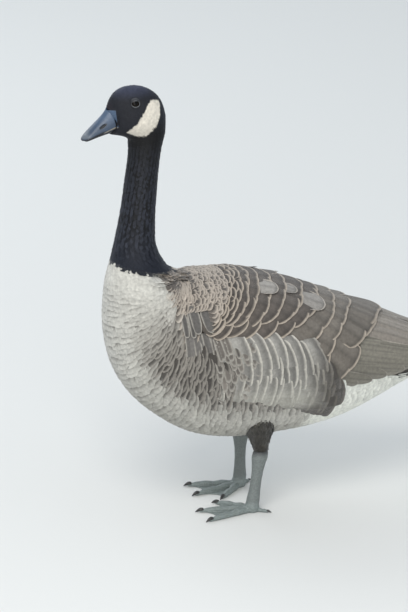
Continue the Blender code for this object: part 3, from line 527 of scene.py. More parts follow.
def lay(surface, template, look, feathers, seed, side=1):
    """Feathers laid along the surface from their roots: points, faces, colours, barb marks and more."""
    rng = np.random.default_rng(seed)
    t, w = template.t[None, :], template.w[None, :]
    shares, widths = zip(*look.widths)
    shape = np.interp(template.t, shares, widths)[None, :]
    length, half = feathers.length[:, None], feathers.width[:, None] / 2
    count = len(feathers.u)
    uneven = look.ragged * half * rng.normal(size=(count, len(template.t))) * ease(t, 0.8, 1.0)
    uneven = np.where(template.under[None, :] > 0, 0, uneven)
    curve = 1 - np.sqrt(1 - 0.96 * w * w)
    ahead = length * t - look.blunt * half * t**1.5 * curve + uneven
    beside = half * w * shape
    c, s = np.cos(feathers.slope)[:, None], np.sin(feathers.slope)[:, None]
    along = read(surface, surface.along, feathers.u, feathers.v)[:, None]
    around = read(surface, surface.around, feathers.u, feathers.v)[:, None]
    u = feathers.u[:, None] + (ahead * c - beside * s) / along
    v = feathers.v[:, None] + (ahead * s + beside * c) / around
    points = read(surface, surface.points, u, v)
    normals = unit(read(surface, surface.normals, u, v))
    root, tip = feathers.root[:, None], feathers.tip[:, None]
    height = root + (tip - root) * t**1.1 - look.camber * half * shape * w * w
    height = height - template.under[None, :] * look.thick * (1.2 - 0.6 * t)
    points = points + normals * height[..., None]
    barbs = ahead + np.abs(beside) * 0.6
    faces = (template.faces[None] + (np.arange(count) * len(template.t))[:, None, None]).reshape(-1, 3)
    if side < 0:
        faces = faces[:, ::-1]
    rows, columns = surface.points.shape[:2]
    patch = np.stack([
        (feathers.v[:, None] % columns) / columns * 0.97 + 0.012 + 0.0015 * w,
        feathers.u[:, None] / rows * 0.97 + 0.012 + 0.003 * (t - 0.5),
    ], -1).reshape(-1, 2)
    mirror = np.array((side, 1, 1))
    upper = np.tile(np.arange(len(template.faces)) < template.uppers, count)
    return Laid(
        points.reshape(-1, 3) * mirror,
        faces,
        feather_colours(look, feathers, t, w).reshape(-1, 3),
        barbs.reshape(-1),
        patch,
        normals.reshape(-1, 3) * mirror,
        upper,
    )


class Laid(NamedTuple):
    """Feathers as arrays of points, and the surface's normal under each point."""

    points: np.ndarray
    faces: np.ndarray
    colours: np.ndarray
    barbs: np.ndarray
    patch: np.ndarray
    normals: np.ndarray
    upper: np.ndarray  # which faces are on top


def coat_object(name, parts, finish, silky=0.5):
    """One object of many laid feathers. Silky is how far its shading follows the surface under them."""
    firsts = np.cumsum([0] + [len(p.points) for p in parts])
    faces = np.concatenate([p.faces + first for p, first in zip(parts, firsts)])
    points, colours, barbs, patch, normals, upper = (
        np.concatenate([getattr(p, field) for p in parts])
        for field in ("points", "colours", "barbs", "patch", "normals", "upper")
    )
    points = points + HEELS
    mesh = bpy.data.meshes.new(name)
    mesh.vertices.add(len(points))
    mesh.vertices.foreach_set("co", points.astype(np.float32).ravel())
    mesh.loops.add(faces.size)
    mesh.loops.foreach_set("vertex_index", faces.astype(np.int32).ravel())
    mesh.polygons.add(len(faces))
    mesh.polygons.foreach_set("loop_start", np.arange(0, faces.size, 3, dtype=np.int32))
    mesh.update(calc_edges=True)
    paint(mesh, colours)
    mark = mesh.attributes.new("barbs", "FLOAT", "POINT")
    mark.data.foreach_set("value", barbs.astype(np.float32))
    baked = mesh.uv_layers.new(name="OFBake")
    baked.data.foreach_set("uv", patch[faces.ravel()].astype(np.float32).ravel())
    mesh.shade_smooth()
    corners = points[faces]
    areas = np.cross(corners[:, 1] - corners[:, 0], corners[:, 2] - corners[:, 0])
    own = np.zeros_like(points)
    for k in range(3):
        np.add.at(own, faces[upper][:, k], areas[upper])
    soft = unit(unit(own) * (1 - silky) + normals * silky)
    shading = np.where(upper[:, None, None], soft[faces], unit(areas)[:, None, :])
    mesh.normals_split_custom_set(shading.reshape(-1, 3).astype(np.float32))
    made = bpy.data.objects.new(name, mesh)
    bpy.context.scene.collection.objects.link(made)
    made.data.materials.append(finish)
    return made


def paint(mesh, colours):
    colour = mesh.color_attributes.new("plumage", "FLOAT_COLOR", "POINT")
    rgba = np.ones((len(colours), 4), np.float32)
    rgba[:, :3] = colours
    colour.data.foreach_set("color", rgba.ravel())


# Materials


BARB_STEP = 0.0011  # how far apart the waves of the barbs' relief stand


def fill(node, values):
    """Sets some of a shader node's inputs, told by their names."""
    for key, value in values.items():
        node.inputs[key.replace("_", " ")].default_value = value


class Finish:
    """A material and what its shader is fed with."""

    def __init__(self, name, roughness, **values):
        self.made = bpy.data.materials.new(name)
        self.made.use_nodes = True
        self.tree = self.made.node_tree
        self.shader = self.tree.nodes["Principled BSDF"]
        fill(self.shader, {"Roughness": roughness, **values})

    def node(self, kind, operation=None, **values):
        node = self.tree.nodes.new("ShaderNode" + kind)
        if operation:
            node.operation = operation
        fill(node, values)
        return node

    def link(self, source, target):
        self.tree.links.new(source, target)

    def texture(self, kind, **values):
        """A texture that stays in place on the object."""
        made = self.node(kind, **values)
        self.link(self.node("TexCoord").outputs["Object"], made.inputs["Vector"])
        return made

    def colour(self, texture, **spread):
        """The mesh's own colour, a little lighter and darker by a texture."""
        colour, vary = self.node("VertexColor"), self.node("MapRange", **spread)
        scaled = self.node("VectorMath", "SCALE")
        colour.layer_name = "plumage"
        self.link(texture, vary.inputs["Value"])
        self.link(colour.outputs["Color"], scaled.inputs[0])
        self.link(vary.outputs["Result"], scaled.inputs["Scale"])
        self.link(scaled.outputs["Vector"], self.shader.inputs["Base Color"])

    def relief(self, height, strength, depth, invert=False):
        bump = self.node("Bump", Strength=strength, Distance=depth)
        bump.invert = invert
        self.link(height, bump.inputs["Height"])
        self.link(bump.outputs["Normal"], self.shader.inputs["Normal"])


def plumage_material(name, roughness, barb_depth, sheen, tint=(1, 1, 1), specular=0.35):
    """Feathers take their colour from the mesh. Fine barbs run out from each shaft."""
    finish = Finish(
        name, roughness, Sheen_Weight=sheen, Sheen_Roughness=0.45, Sheen_Tint=(*tint, 1),
        Specular_IOR_Level=specular,
    )
    speckle = finish.texture("TexNoise", Scale=260, Detail=4).outputs["Fac"]
    finish.colour(speckle, From_Min=0.3, From_Max=0.7, To_Min=0.84, To_Max=1.14)
    barbs = finish.node("Attribute")
    barbs.attribute_name = "barbs"
    turns, wave, both = (finish.node("Math", kind) for kind in ("MULTIPLY", "SINE", "ADD"))
    turns.inputs[1].default_value = 2 * math.pi / BARB_STEP
    finish.link(barbs.outputs["Fac"], turns.inputs[0])
    finish.link(turns.outputs["Value"], wave.inputs[0])
    finish.link(wave.outputs["Value"], both.inputs[0])
    finish.link(speckle, both.inputs[1])
    finish.relief(both.outputs["Value"], strength=0.6, depth=barb_depth)
    return finish.made


def painted_material(name, roughness, bump_scale, bump_depth, cells=False, **values):
    """A bare surface that takes its colour from the mesh, with a fine relief of grain or of scales."""
    finish = Finish(name, roughness, **values)
    height = finish.texture("TexVoronoi" if cells else "TexNoise", Scale=bump_scale)
    height = height.outputs["Distance" if cells else "Fac"]
    finish.colour(height, From_Max=0.6 if cells else 1.0, To_Min=1.25, To_Max=0.72)
    finish.relief(height, strength=0.8, depth=bump_depth, invert=cells)
    return finish.made


# Markings


# The white patch behind the eye, ahead of the eyes' middle and above it
CHEEK_PATCH = (
    (-0.0199, -0.0068),
    (-0.0241, -0.0051),
    (-0.0303, -0.0070),
    (-0.0371, -0.0111),
    (-0.0366, -0.0151),
    (-0.0319, -0.0287),
    (-0.0225, -0.0412),
    (-0.0071, -0.0503),
    (0.0061, -0.0485),
    (0.0206, -0.0376),
    (0.0052, -0.0288),
    (-0.0075, -0.0168),
    (-0.0167, -0.0085),
)


# The bill's horn reaches back to here on the face, ahead of the eyes' middle and above it
BILL_BASE = (
    (0.0480, -0.0031),
    (0.0329, -0.0031),
    (0.0272, -0.0036),
    (0.0282, -0.0094),
    (0.0289, -0.0146),
    (0.0299, -0.0263),
    (0.0480, -0.0300),
)


class HeadFrame(NamedTuple):
    """The eyes' middle, and the ways ahead, up and to the left along the head."""

    middle: np.ndarray
    ahead: np.ndarray
    up: np.ndarray
    left: np.ndarray


EYE_DROP = 0.0016  # eye centres under the middle of their openings


def head_frame():
    centres = [sum(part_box("eye_" + side), Vector()) / 2 for side in SIDE_NAMES.values()]
    turn = Matrix.Rotation(HEAD_TURN, 3, "Z") @ Matrix.Rotation(HEAD_PITCH, 3, "X")
    ahead, up, left = (np.array(turn @ Vector(way)) for way in ((0, -1, 0), (0, 0, 1), (1, 0, 0)))
    middle = np.array((centres[0] + centres[1]) / 2) - HEELS + up * EYE_DROP
    return HeadFrame(middle, ahead, up, left)


def in_head(head, points):
    """Points as places ahead of the eyes' middle, above it and to the left of it."""
    rel = points - head.middle
    return rel @ head.ahead, rel @ head.up, rel @ head.left


def inside(polygon, x, y):
    """Which points lie inside the polygon."""
    found = np.zeros(x.shape, bool)
    for (x0, y0), (x1, y1) in zip(polygon, polygon[1:] + polygon[:1]):
        crosses = (y0 > y) != (y1 > y)
        at = x0 + (x1 - x0) * (y - y0) / (y1 - y0 if y1 != y0 else 1e-9)
        found ^= crosses & (x < at)
    return found


def mix(a, b, share):
    return np.asarray(a) * (1 - share[..., None]) + np.asarray(b) * share[..., None]


def mantle_share(points):
    """How far places lie on the brown back and shoulders, from 0 to 1."""
    angle = bed_angle(points)
    start = -0.121 - 0.016 * (1 - ease(angle, 15, 50))
    return ease(points[:, 1], start, start + 0.009) * (1 - ease(angle, 72, 92))


def black_ends(angle):
    """The number of the ring that the black of the neck ends at: a little higher behind."""
    return BLACK_EDGE - 0.30 * (1 - ease(np.abs(angle), 30, 75))


def dorsal_share(points, ring, angle):
    """How far places of the body lie in the brown of its back, which begins right behind the black."""
    edge = black_ends(angle)
    behind_neck = (1 - ease(np.abs(angle), 28, 52)) * (1 - ease(ring, 16.5, 18))
    return np.maximum(mantle_share(points), behind_neck) * ease(ring, edge - 0.08, edge)


class Marks(NamedTuple):
    """The plumage at some places: its base colour, its feathers' rims, and how wide and soft these are."""

    base: np.ndarray
    rim: np.ndarray
    rim_width: np.ndarray
    rim_fade: np.ndarray


def head_colours(points, uneven, head):
    """The colour of the head and upper neck at each point: black, with a painted bluish sheen on the crown,
    and a white cheek whose lower part is darker by a painted shade.
    """
    ahead, above, _ = in_head(head, points)
    ahead, above = ahead + uneven[:, 0], above + uneven[:, 1]
    height = above * math.cos(HEAD_PITCH) - ahead * math.sin(HEAD_PITCH)
    # Toward the top of the head the black takes the crown's painted sheen, less of it behind
    black = mix(FACE, CROWN_SHEEN, ease(height, 0.002, 0.020) * (1 - 0.7 * ease(-ahead, 0.025, 0.040)))
    forehead = ease(ahead, 0.026, 0.040) * ease(above, -0.006, 0.000) * (1 - ease(above, 0.004, 0.012))
    black = mix(black, FOREHEAD, forehead)
    black = mix(black, NECK_BLACK, ease(-above, 0.030, 0.055))
    # The cheek's lower part is darker by a painted shade
    cheek = np.asarray(CHEEK) * ((1 + 40 * uneven[:, :1]) * (1 - 0.25 * ease(-above, 0.030, 0.050))[:, None])
    return np.where(inside(CHEEK_PATCH, ahead, above)[:, None], cheek, black)


# Patches of plumage: the rings, or the degrees from the back, between which each comes in or goes out
LOW_NECK_RINGS = (11.5, 14.5)
SIDE_RINGS, SIDE_FROM, SIDE_TO = (15.9, 19.2), (42, 80), (108, 140)
LOW_RINGS, LOW_FROM = (17.5, 20), (120, 160)
# The y that the white begins at: under the tail, with how far round it reaches, and over it
VENT_WHITE, VENT_FROM, RUMP_WHITE = (0.055, 0.085), (70, 95), (0.165, 0.175)


def markings(points, ring, angle, head, rng):
    """The plumage at places of the body. The angle is from the back."""
    y = points[:, 1]
    jitter = rng.normal(size=len(points))
    angle = np.abs(angle) + 2 * jitter
    neck = head_colours(points, np.zeros((len(points), 2)), head)
    neck = mix(neck, LOW_NECK, ease(ring, *LOW_NECK_RINGS))
    edge = black_ends(angle)
    dorsal = dorsal_share(points, ring, angle)
    lateral = ease(angle, *SIDE_FROM) * (1 - ease(angle, *SIDE_TO)) * ease(ring, *SIDE_RINGS)
    low = ease(angle, *LOW_FROM) * ease(ring, *LOW_RINGS)
    base = mix(mix(BREAST_BAR, SIDE_BAR, lateral), LOW_BAR, low)
    rim = mix(mix(BREAST, SIDE, lateral), LOW, low)
    vent = ease(y, *VENT_WHITE) * ease(angle, *VENT_FROM)
    white = np.maximum(vent, ease(y, *RUMP_WHITE))
    base = mix(mix(base, BROWN, dorsal), np.array(WHITE) * 0.93, white)
    rim = mix(mix(rim, MANTLE_BUFF, dorsal), WHITE, white)
    black = (ring < edge + 0.06 * jitter)[:, None]
    firm = np.maximum(lateral, dorsal)
    rim_width = 0.0022 - 0.0010 * firm - 0.0006 * dorsal
    rim_fade = 0.0085 - 0.0060 * firm - 0.0012 * dorsal
    return Marks(np.where(black, neck, base), np.where(black, neck * 1.15, rim), rim_width, rim_fade)


# Tracts of small feathers. At each ring: how far apart rows and neighbours stand, each feather's length
# and width, how deep its root lies, and how high its tip
TRACTS = (
    (0.0, 0.0013, 0.0011, 0.0034, 0.0018, -0.0005, 0.0000),
    (3.0, 0.0017, 0.0014, 0.0052, 0.0026, -0.0007, 0.0001),
    (9.0, 0.0023, 0.0020, 0.0080, 0.0036, -0.0009, 0.0002),
    (12.0, 0.0029, 0.0024, 0.0100, 0.0046, -0.0010, 0.0003),
    (14.7, 0.0034, 0.0026, 0.0110, 0.0050, -0.0010, 0.0003),
    (15.6, 0.0048, 0.0080, 0.0150, 0.0150, -0.0012, 0.0004),
    (17.0, 0.0061, 0.0140, 0.0220, 0.0270, -0.0018, 0.0005),
    (20.0, 0.0066, 0.0150, 0.0260, 0.0300, -0.0022, 0.0006),
    (23.0, 0.0070, 0.0150, 0.0300, 0.0300, -0.0026, 0.0006),
    (26.0, 0.0080, 0.0120, 0.0360, 0.0240, -0.0030, 0.0006),
    (30.0, 0.0085, 0.0080, 0.0380, 0.0170, -0.0030, 0.0006),
)


NEIGHBOURS = [(a, b, c) for a in (-1, 0, 1) for b in (-1, 0, 1) for c in (-1, 0, 1)]


def crowded(place, cell, taken):
    """Whether a taken place lies nearer than a cell's size. If none does, this one is taken now."""
    x, y, z = (int(way) for way in np.floor(place / cell))
    for a, b, c in NEIGHBOURS:
        other = taken.get((x + a, y + b, z + c))
        if other is not None and sum((place - other) ** 2) < cell * cell:
            return True
    taken[x, y, z] = place
    return False


def rows_of_roots(body, rng):
    """Root places in rows round the body, each row set between the roots of the last, none too close."""
    surface = body.outer
    tracts = np.array(TRACTS)
    rows = len(surface.points)
    side = COLUMNS // 3
    u, kept_u, kept_v, k = 0.0, [], [], 0
    taken = {}
    while u < rows - 3:
        ring = float(np.interp(u, np.arange(rows), body.ring))
        step, apart = (np.interp(ring, tracts[:, 0], tracts[:, c]) for c in (1, 2))
        even = 0.10 - 0.06 * float(ease(ring, 14.5, 16.5))
        round_it = read(surface, surface.around, np.full(COLUMNS, u), np.arange(COLUMNS, dtype=float))
        reach = np.concatenate([[0], np.cumsum(round_it)])
        count = max(8, int(reach[-1] / apart))
        places = (np.arange(count) + 0.5 * (k % 2) + 0.12 * rng.normal(size=count)) / count * reach[-1]
        v = np.interp(places % reach[-1], reach, np.arange(COLUMNS + 1))
        us = u + even * rng.normal(size=count) * step / RING_STEP
        cell = 0.80 * min(step, apart)
        for p, uu, vv in zip(read(surface, surface.points, us, v), us, v):
            if not crowded(p, cell, taken):
                kept_u.append(uu)
                kept_v.append(vv)
        here = read(surface, surface.along, np.array([u]), np.array([float(side)]))[0]
        u += step / max(here, 1e-4)
        k += 1
    return np.array(kept_u), np.array(kept_v)


EYE_BARE = 0.0088  # no feather starts nearer than this to an eye's middle


# How far back small body feathers run over the front of the closed wing: degrees round it, and y
MANTLE_ENDS = ((0, -0.108), (30, -0.108), (50, -0.104), (64, -0.106), (72, -0.118))


def under_edges(points, margin):
    """Which places lie well under the closed wing: a margin in degrees above its lower edge."""
    upper, lower = wing_edges(points[:, 1])
    angle = bed_angle(points)
    return (angle > upper + 8) & (angle < lower - margin)


def tips_of(surface, u, v, length):
    """How far along the grid feathers reach, a little short of their tips, and the points there."""
    far = u + 0.8 * length / read(surface, surface.along, u, v)
    return far, read(surface, surface.points, far, v)


def from_back(column):
    """How many degrees round from the back a column of the body's grid lies, to either side."""
    angle = column / COLUMNS * 360
    return np.where(angle > 180, angle - 360, angle)


def grown(body, head, u, v, ring, length):
    """Which roots grow a feather: not on an eye, the bill's base or what the closed wing covers."""
    points = read(body.outer, body.outer.points, u, v)
    tips = tips_of(body.outer, u, v, length)[1]
    ahead, above, _ = in_head(head, points)
    bare = (np.hypot(ahead, above) < EYE_BARE) | inside(BILL_BASE, ahead, above)
    on_wing = read(body.outer, body.wing, u, v)
    under_wing = (under_edges(points, 1) | under_edges(tips, 5)) & (ring > 16)
    ends = np.interp(bed_angle(points), *zip(*MANTLE_ENDS))
    return ~bare & (((on_wing < 0.5) & ~under_wing) | (ring < 16) | (points[:, 1] < ends))


def clear_of_lids(head, points, length):
    """Feathers right ahead of an eye end before its lids."""
    ahead, above, _ = in_head(head, points)
    eye = np.hypot(ahead, above)
    near = (ahead > 0) & (eye < 0.016) & (np.abs(above) < 0.009)
    return np.where(near, np.minimum(length, np.maximum(eye - 0.0072, 0.0012)), length)


FURROW = 0.0005  # how high the neck's furrows stand
NECK_ENDS = BLACK_EDGE - 0.6  # the ring where the neck's coat gives way to the breast's


def furrows(u, ring, angle, rng):
    """How high each feather stands for the neck's furrows, and how strong the painted sheen on its ridge is.
    """
    height = FURROW * np.sin(np.radians(angle) * 26 + 1.2 * np.sin(u * 0.05)) * ease(ring, 7, 10)
    height = height * (1 - ease(ring, 13.0, 14.5))
    ridge_sheen = ease(height / FURROW + 0.3 * rng.normal(size=len(u)), 0.0, 1.2) * ease(ring, 8.5, 11.5)
    return height, ridge_sheen * (1 - ease(ring, 13, 14.5)) * (ring < NECK_ENDS)


# Each coat: its first and last ring, its kind of feather, how fine these are, how unevenly they point, its
# material, and how far its shading follows the surface under them
COATS = {
    "coat_head": (0, 9.0, SMALL, (4, 3, 1), 0.10, "sleek", 0.6),
    "coat_neck": (9.0, NECK_ENDS, SMALL, (4, 3, 1), 0.10, "sleek", 0.6),
    "coat_breast": (NECK_ENDS, 19.0, BODY, (8, 7, 3), 0.05, "soft", 0.75),
    "coat_side": (19.0, 22.0, BODY, (8, 7, 3), 0.05, "soft", 0.75),
    "coat_belly": (22.0, 31.0, BODY, (8, 7, 3), 0.05, "soft", 0.75),
}


def build_coat(body, head, finishes):
    """The small feathers of head, neck and body, in rows that lie back along them."""
    rng = np.random.default_rng(11)
    u, v = rows_of_roots(body, rng)
    tracts = np.array(TRACTS)
    numbers = np.arange(len(body.ring))
    ring = np.interp(u, numbers, body.ring)
    length, width, root, tip = (np.interp(ring, tracts[:, 0], tracts[:, c]) for c in (3, 4, 5, 6))
    angle = from_back(v)
    points = read(body.outer, body.outer.points, u, v)
    keep = grown(body, head, u, v, ring, length)
    length = clear_of_lids(head, points, length)
    dorsal = dorsal_share(points, ring, angle)
    length, width = length * (1 - 0.20 * dorsal), width * (1 - 0.30 * dorsal)
    tip = tip + 0.0008 * dorsal
    far, tips = tips_of(body.outer, u, v, length)
    marks = markings(tips, np.interp(far, numbers, body.ring), angle, head, rng)
    shade = 1 + 0.05 * rng.normal(size=(len(u), 1))
    furrow, ridge_sheen = furrows(u, ring, angle, rng)
    # The furrows' ridges take a painted sheen
    base, rim = mix(marks.base, NECK_RIDGE_SHEEN, ridge_sheen * 0.7), mix(marks.rim, NECK_RIDGE_SHEEN, ridge_sheen)
    whole = feathers_of(
        u=u, v=v, slope=0, length=length * (1 + 0.05 * rng.normal(size=len(u))), width=width,
        root=root + furrow, tip=tip + furrow, body=base * shade, rim=rim * shade,
        rim_width=marks.rim_width, rim_fade=marks.rim_fade, shaft=0.03,
    )
    made = []
    for name, (first, last, look, size, uneven, finish, silky) in COATS.items():
        take = keep & (ring >= first) & (ring < last)
        feathers = Feathers(*(field[take] for field in whole))
        count = len(feathers.u)
        slope = uneven * rng.normal(size=count)
        feathers = feathers._replace(slope=slope, tip=feathers.tip + 0.0001 * rng.normal(size=count))
        laid = lay(body.outer, feather_template(*size), look, feathers, 5)
        if name == "coat_head":
            stray = np.repeat(0.0003 * rng.normal(size=(count, 2)), len(laid.points) // count, 0)
            laid = laid._replace(colours=head_colours(laid.points, stray, head))
        made.append(coat_object(name, [laid], finishes[finish], silky))
    return made


class Tier(NamedTuple):
    """A row of feathers, told by where its tips end, from its uppermost feather to its lowest."""

    count: int
    tips: tuple  # (y, angle) of the tips along the row: two or more places
    lengths: tuple
    widths: tuple
    slopes: tuple  # degrees that the first and the last feather point down, or none: straight from the row
    rise: tuple  # over the wing's surface, at root and tip
    body: tuple
    rim: tuple
    rim_width: float
    look: Look
    stagger: float = 0.0012  # how unevenly far back the tips reach


# The bend of the wing, which the rows over the shoulder stop above and behind
BEND_TOP = 48
BEND_BACK = -0.067
WING_FRONT = -0.112  # no tip of these rows lies ahead of this
METRES_A_DEGREE = 0.0018  # round the wing, about


# The lines that rows of tips run along, from the ridge down: how far behind a row's place, and degrees
MANTLE_ARC = ((0.033, 2), (0.026, 34), (0, 60), (-0.024, 78))
SCAPULAR_ARC = ((0.036, 7), (0.029, 26), (0.018, 43), (0.002, 58), (-0.014, 67.5), (-0.033, 74))


def clear_of_bend(at, arc):
    """The part of a row's arc, at its place along the wing, that stays off the bend, and its length."""
    y, angle = np.array(arc, float).T
    y = at + y
    fine = np.linspace(0, len(y) - 1, 80)
    y, angle = (np.interp(fine, np.arange(len(y)), field) for field in (y, angle))
    clear = (y > WING_FRONT) & ((angle < BEND_TOP) | (y > BEND_BACK))
    end = len(clear) if clear.all() else int(np.argmin(clear))
    y, angle = y[:end], angle[:end]
    length = np.hypot(np.diff(y), METRES_A_DEGREE * np.diff(angle)).sum()
    return tuple(zip(y, angle)), length


def mantle_row(at):
    """A row of small feathers across the shoulder."""
    tips, length = clear_of_bend(at, MANTLE_ARC)
    front = float(ease(-at, 0.098, 0.116))
    reach = 0.022 - 0.006 * front
    return Tier(
        max(3, round(length / 0.0100)), tips, (reach, reach), (0.0180, 0.0165), None,
        (-0.0006 - 0.0008 * front, 0.0036 - 0.0024 * front),
        MANTLE, MANTLE_BUFF, 0.0015, MANTLE_LOOK, 0.0015,
    )


def scapular(at, apart, length, width):
    """A long arc of broad feathers over the wing, whose lower end sweeps forward."""
    tips, reach = clear_of_bend(at, SCAPULAR_ARC)
    return Tier(
        max(3, round(reach / apart)), tips, (length, length * 0.8), (width, width * 0.85), None,
        (-0.0006, 0.0044), BROWN, BUFF, 0.0013, WING,
    )


def pale_scapular(y, angle, length, width):
    """One rounded, paler feather that lies over its row."""
    return Tier(
        1, ((y, angle), (y, angle + 1)), (length, length), (width, width), (14, 14), (0.0022, 0.0062),
        PALE_BROWN, PALE_EDGE, 0.0008, WING._replace(blunt=0.95, side_rim=0.6),
    )


# The wing's feathers from the lowest layer up: primaries, secondaries, tertials, coverts and scapulars
WING_TIERS = (
    Tier(
        8, ((0.330, 60), (0.322, 84), (0.300, 97)), (0.150, 0.150), (0.020, 0.018), (1, 1),
        (-0.0008, 0.0018), PRIMARY, PRIMARY_EDGE, 0.0008, QUILL,
    ),
    Tier(
        20, ((0.264, 72), (0.250, 98), (0.205, 112), (0.140, 119)), (0.130, 0.100), (0.026, 0.026), (4, 8),
        (-0.0008, 0.0026), SECONDARY, SECONDARY_EDGE, 0.0006, QUILL,
    ),
    Tier(
        6, ((0.296, 30), (0.272, 50), (0.245, 76)), (0.150, 0.130), (0.036, 0.032), (4, 8),
        (-0.0006, 0.0040), TERTIAL, TERTIAL_EDGE, 0.0010, QUILL,
    ),
    Tier(
        9, ((0.192, 22), (0.182, 38), (0.166, 64), (0.136, 92), (0.100, 117)), (0.090, 0.070),
        (0.060, 0.052), None, (-0.0006, 0.0040), COVERT, BUFF, 0.0012, WING,
    ),
    Tier(
        6, ((0.146, 24), (0.127, 52), (0.107, 72), (0.086, 98)), (0.080, 0.060), (0.058, 0.050), None,
        (-0.0006, 0.0042), COVERT, BUFF, 0.0012, WING,
    ),
    Tier(
        6, ((0.122, 20), (0.106, 50), (0.086, 68), (0.060, 88)), (0.080, 0.060), (0.058, 0.050), None,
        (-0.0006, 0.0042), COVERT, BUFF, 0.0012, WING,
    ),
    scapular(0.0625, 0.026, 0.080, 0.062),
    scapular(0.0390, 0.026, 0.076, 0.060),
    scapular(0.0145, 0.026, 0.070, 0.058),
    scapular(-0.0065, 0.025, 0.062, 0.054),
    scapular(-0.0250, 0.022, 0.052, 0.048),
    scapular(-0.0380, 0.020, 0.044, 0.042),
    scapular(-0.0480, 0.018, 0.030, 0.036),
    scapular(-0.0560, 0.016, 0.024, 0.031),
    scapular(-0.0630, 0.015, 0.018, 0.027),
    pale_scapular(0.100, 35, 0.050, 0.046),
    pale_scapular(0.060, 24, 0.030, 0.026),
    pale_scapular(0.031, 28, 0.036, 0.035),
)
MANTLE_ROWS = np.arange(-0.067, -0.124, -0.0042)  # the rows' places, from the rearmost forward

# Rows of feathers that hang over the bend of the wing, lowest first: roots' angle, tips' angle, first and
# last y, how many, how far back the last one leans, width, height over the wing, and how light
BEND_ROWS = (
    (92, 130, -0.110, -0.034, 14, 0.020, 0.0105, 0.0018, 1.8),
    (72, 112, -0.113, -0.040, 14, 0.018, 0.0100, 0.0024, 1.5),
    (45, 80, -0.113, -0.105, 2, 0.0, 0.0095, 0.0026, 1.0),
    (43, 78, -0.097, -0.073, 3, 0.006, 0.0135, 0.0034, 1.0),
)

# Streaked feathers between the bend and the flank: rows, feathers in each, first and last y, lowest
# tips' angle, and how far each row stands above the last
FRONT_ROWS, FRONT_EACH = 5, 8
FRONT_FROM, FRONT_TO = -0.078, -0.022
FRONT_LOWEST, FRONT_STEP = 132, 9
# How many degrees these feathers hang down, and how far back
FRONT_LONG, FRONT_LEAN = 22, 0.010


def along_line(line, count):
    """Places spread evenly along a line of (y, angle) points."""
    line = np.array(line, float)
    reach = np.concatenate([[0], np.cumsum(np.abs(np.diff(line[:, 1])))])
    at = np.linspace(0, reach[-1], count)
    return np.interp(at, reach, line[:, 0]), np.interp(at, reach, line[:, 1])


def on_bed(bed, y, angle):
    """Where a place along and round the wing lies in its surface's grid."""
    return (y - bed.start[0]) / bed.step[0], (angle - bed.start[1]) / bed.step[1]


def tier_feathers(bed, tier, rng):
    tip_y, tip_angle = along_line(tier.tips, tier.count)
    share = np.linspace(0, 1, tier.count)
    length, width = (first + (last - first) * share for first, last in (tier.lengths, tier.widths))
    length = length * (1 + 0.02 * rng.normal(size=tier.count))
    u, v = on_bed(bed, tip_y, tip_angle)
    along = read(bed.surface, bed.surface.along, u, v)
    around = read(bed.surface, bed.surface.around, u, v)
    if tier.slopes:
        slope = np.radians(tier.slopes[0] + (tier.slopes[1] - tier.slopes[0]) * share)
    else:
        slope = 0.85 * np.arctan2(-np.gradient(u) * along, np.gradient(v) * around)
    slope = slope + math.radians(2.5) * rng.normal(size=tier.count)
    u = u + tier.stagger * rng.normal(size=tier.count) / along
    shade = 1 + 0.08 * rng.normal(size=(tier.count, 1))
    return feathers_of(
        u=u - length * np.cos(slope) / along, v=v - length * np.sin(slope) / around, slope=slope,
        length=length, width=width,
        root=tier.rise[0], tip=tier.rise[1] + 0.0003 * rng.normal(size=tier.count),
        body=np.array(tier.body) * shade, rim=tier.rim,
        rim_width=tier.rim_width, rim_fade=tier.rim_width * 1.5, shaft=0.25,
    )


def hanging(bed, roots, tips, width, level, base, rim, rim_width):
    """Feathers that hang down the wing, each from its root's y and angle to its tip's."""
    u0, v0 = on_bed(bed, *roots)
    u1, v1 = on_bed(bed, *tips)
    ahead = (u1 - u0) * read(bed.surface, bed.surface.along, u0, v0)
    down = (v1 - v0) * read(bed.surface, bed.surface.around, (u0 + u1) / 2, (v0 + v1) / 2)
    return feathers_of(
        u=u0, v=v0, slope=np.arctan2(down, ahead), length=np.hypot(down, ahead), width=width,
        root=level - 0.0030, tip=level, body=base, rim=rim, rim_width=rim_width, rim_fade=0.0018, shaft=0.1,
    )


def bend_feathers(bed, row, rng):
    """A row of feathers that hang down over the bend of the wing, the rear ones over the front ones."""
    top, bottom, first, last, count, lean, wide, level, tone = row
    share = np.linspace(0, 1, count)
    y = first + (last - first) * share + 0.0012 * rng.normal(size=count)
    roots = (y, top + 2.0 * rng.normal(size=count))
    tips = (y + lean * (0.2 + share), bottom + 4.0 * rng.normal(size=count))
    width = wide * (1 + 0.1 * rng.normal(size=count))
    base = np.array(BEND) * tone * (1 + 0.16 * rng.normal(size=(count, 1)))
    return hanging(bed, roots, tips, width, level + 0.0005 * share, base, FRONT_RIM, 0.0009)


def front_feathers(bed, rng):
    """Streaked feathers between the bend and the flank, in no clear rows."""
    number = np.arange(FRONT_ROWS * FRONT_EACH)
    count = len(number)
    row, place = number // FRONT_EACH, number % FRONT_EACH
    place = (place + 0.5 * (row % 2) + 0.25 * rng.normal(size=count)) / FRONT_EACH
    y = FRONT_FROM + (FRONT_TO - FRONT_FROM) * place
    tip = FRONT_LOWEST - FRONT_STEP * row + 4 * rng.normal(size=count)
    base = np.array(SIDE_BAR) * 2.8 * (1 + 0.3 * rng.normal(size=(count, 1))).clip(0.5, 1.5)
    width = 0.0105 * (1 + 0.12 * rng.normal(size=count))
    roots, tips, level = (y, tip - FRONT_LONG), (y + FRONT_LEAN, tip), 0.0012 + 0.0002 * row
    return hanging(bed, roots, tips, width, level, base, FRONT_RIM, 0.0018)


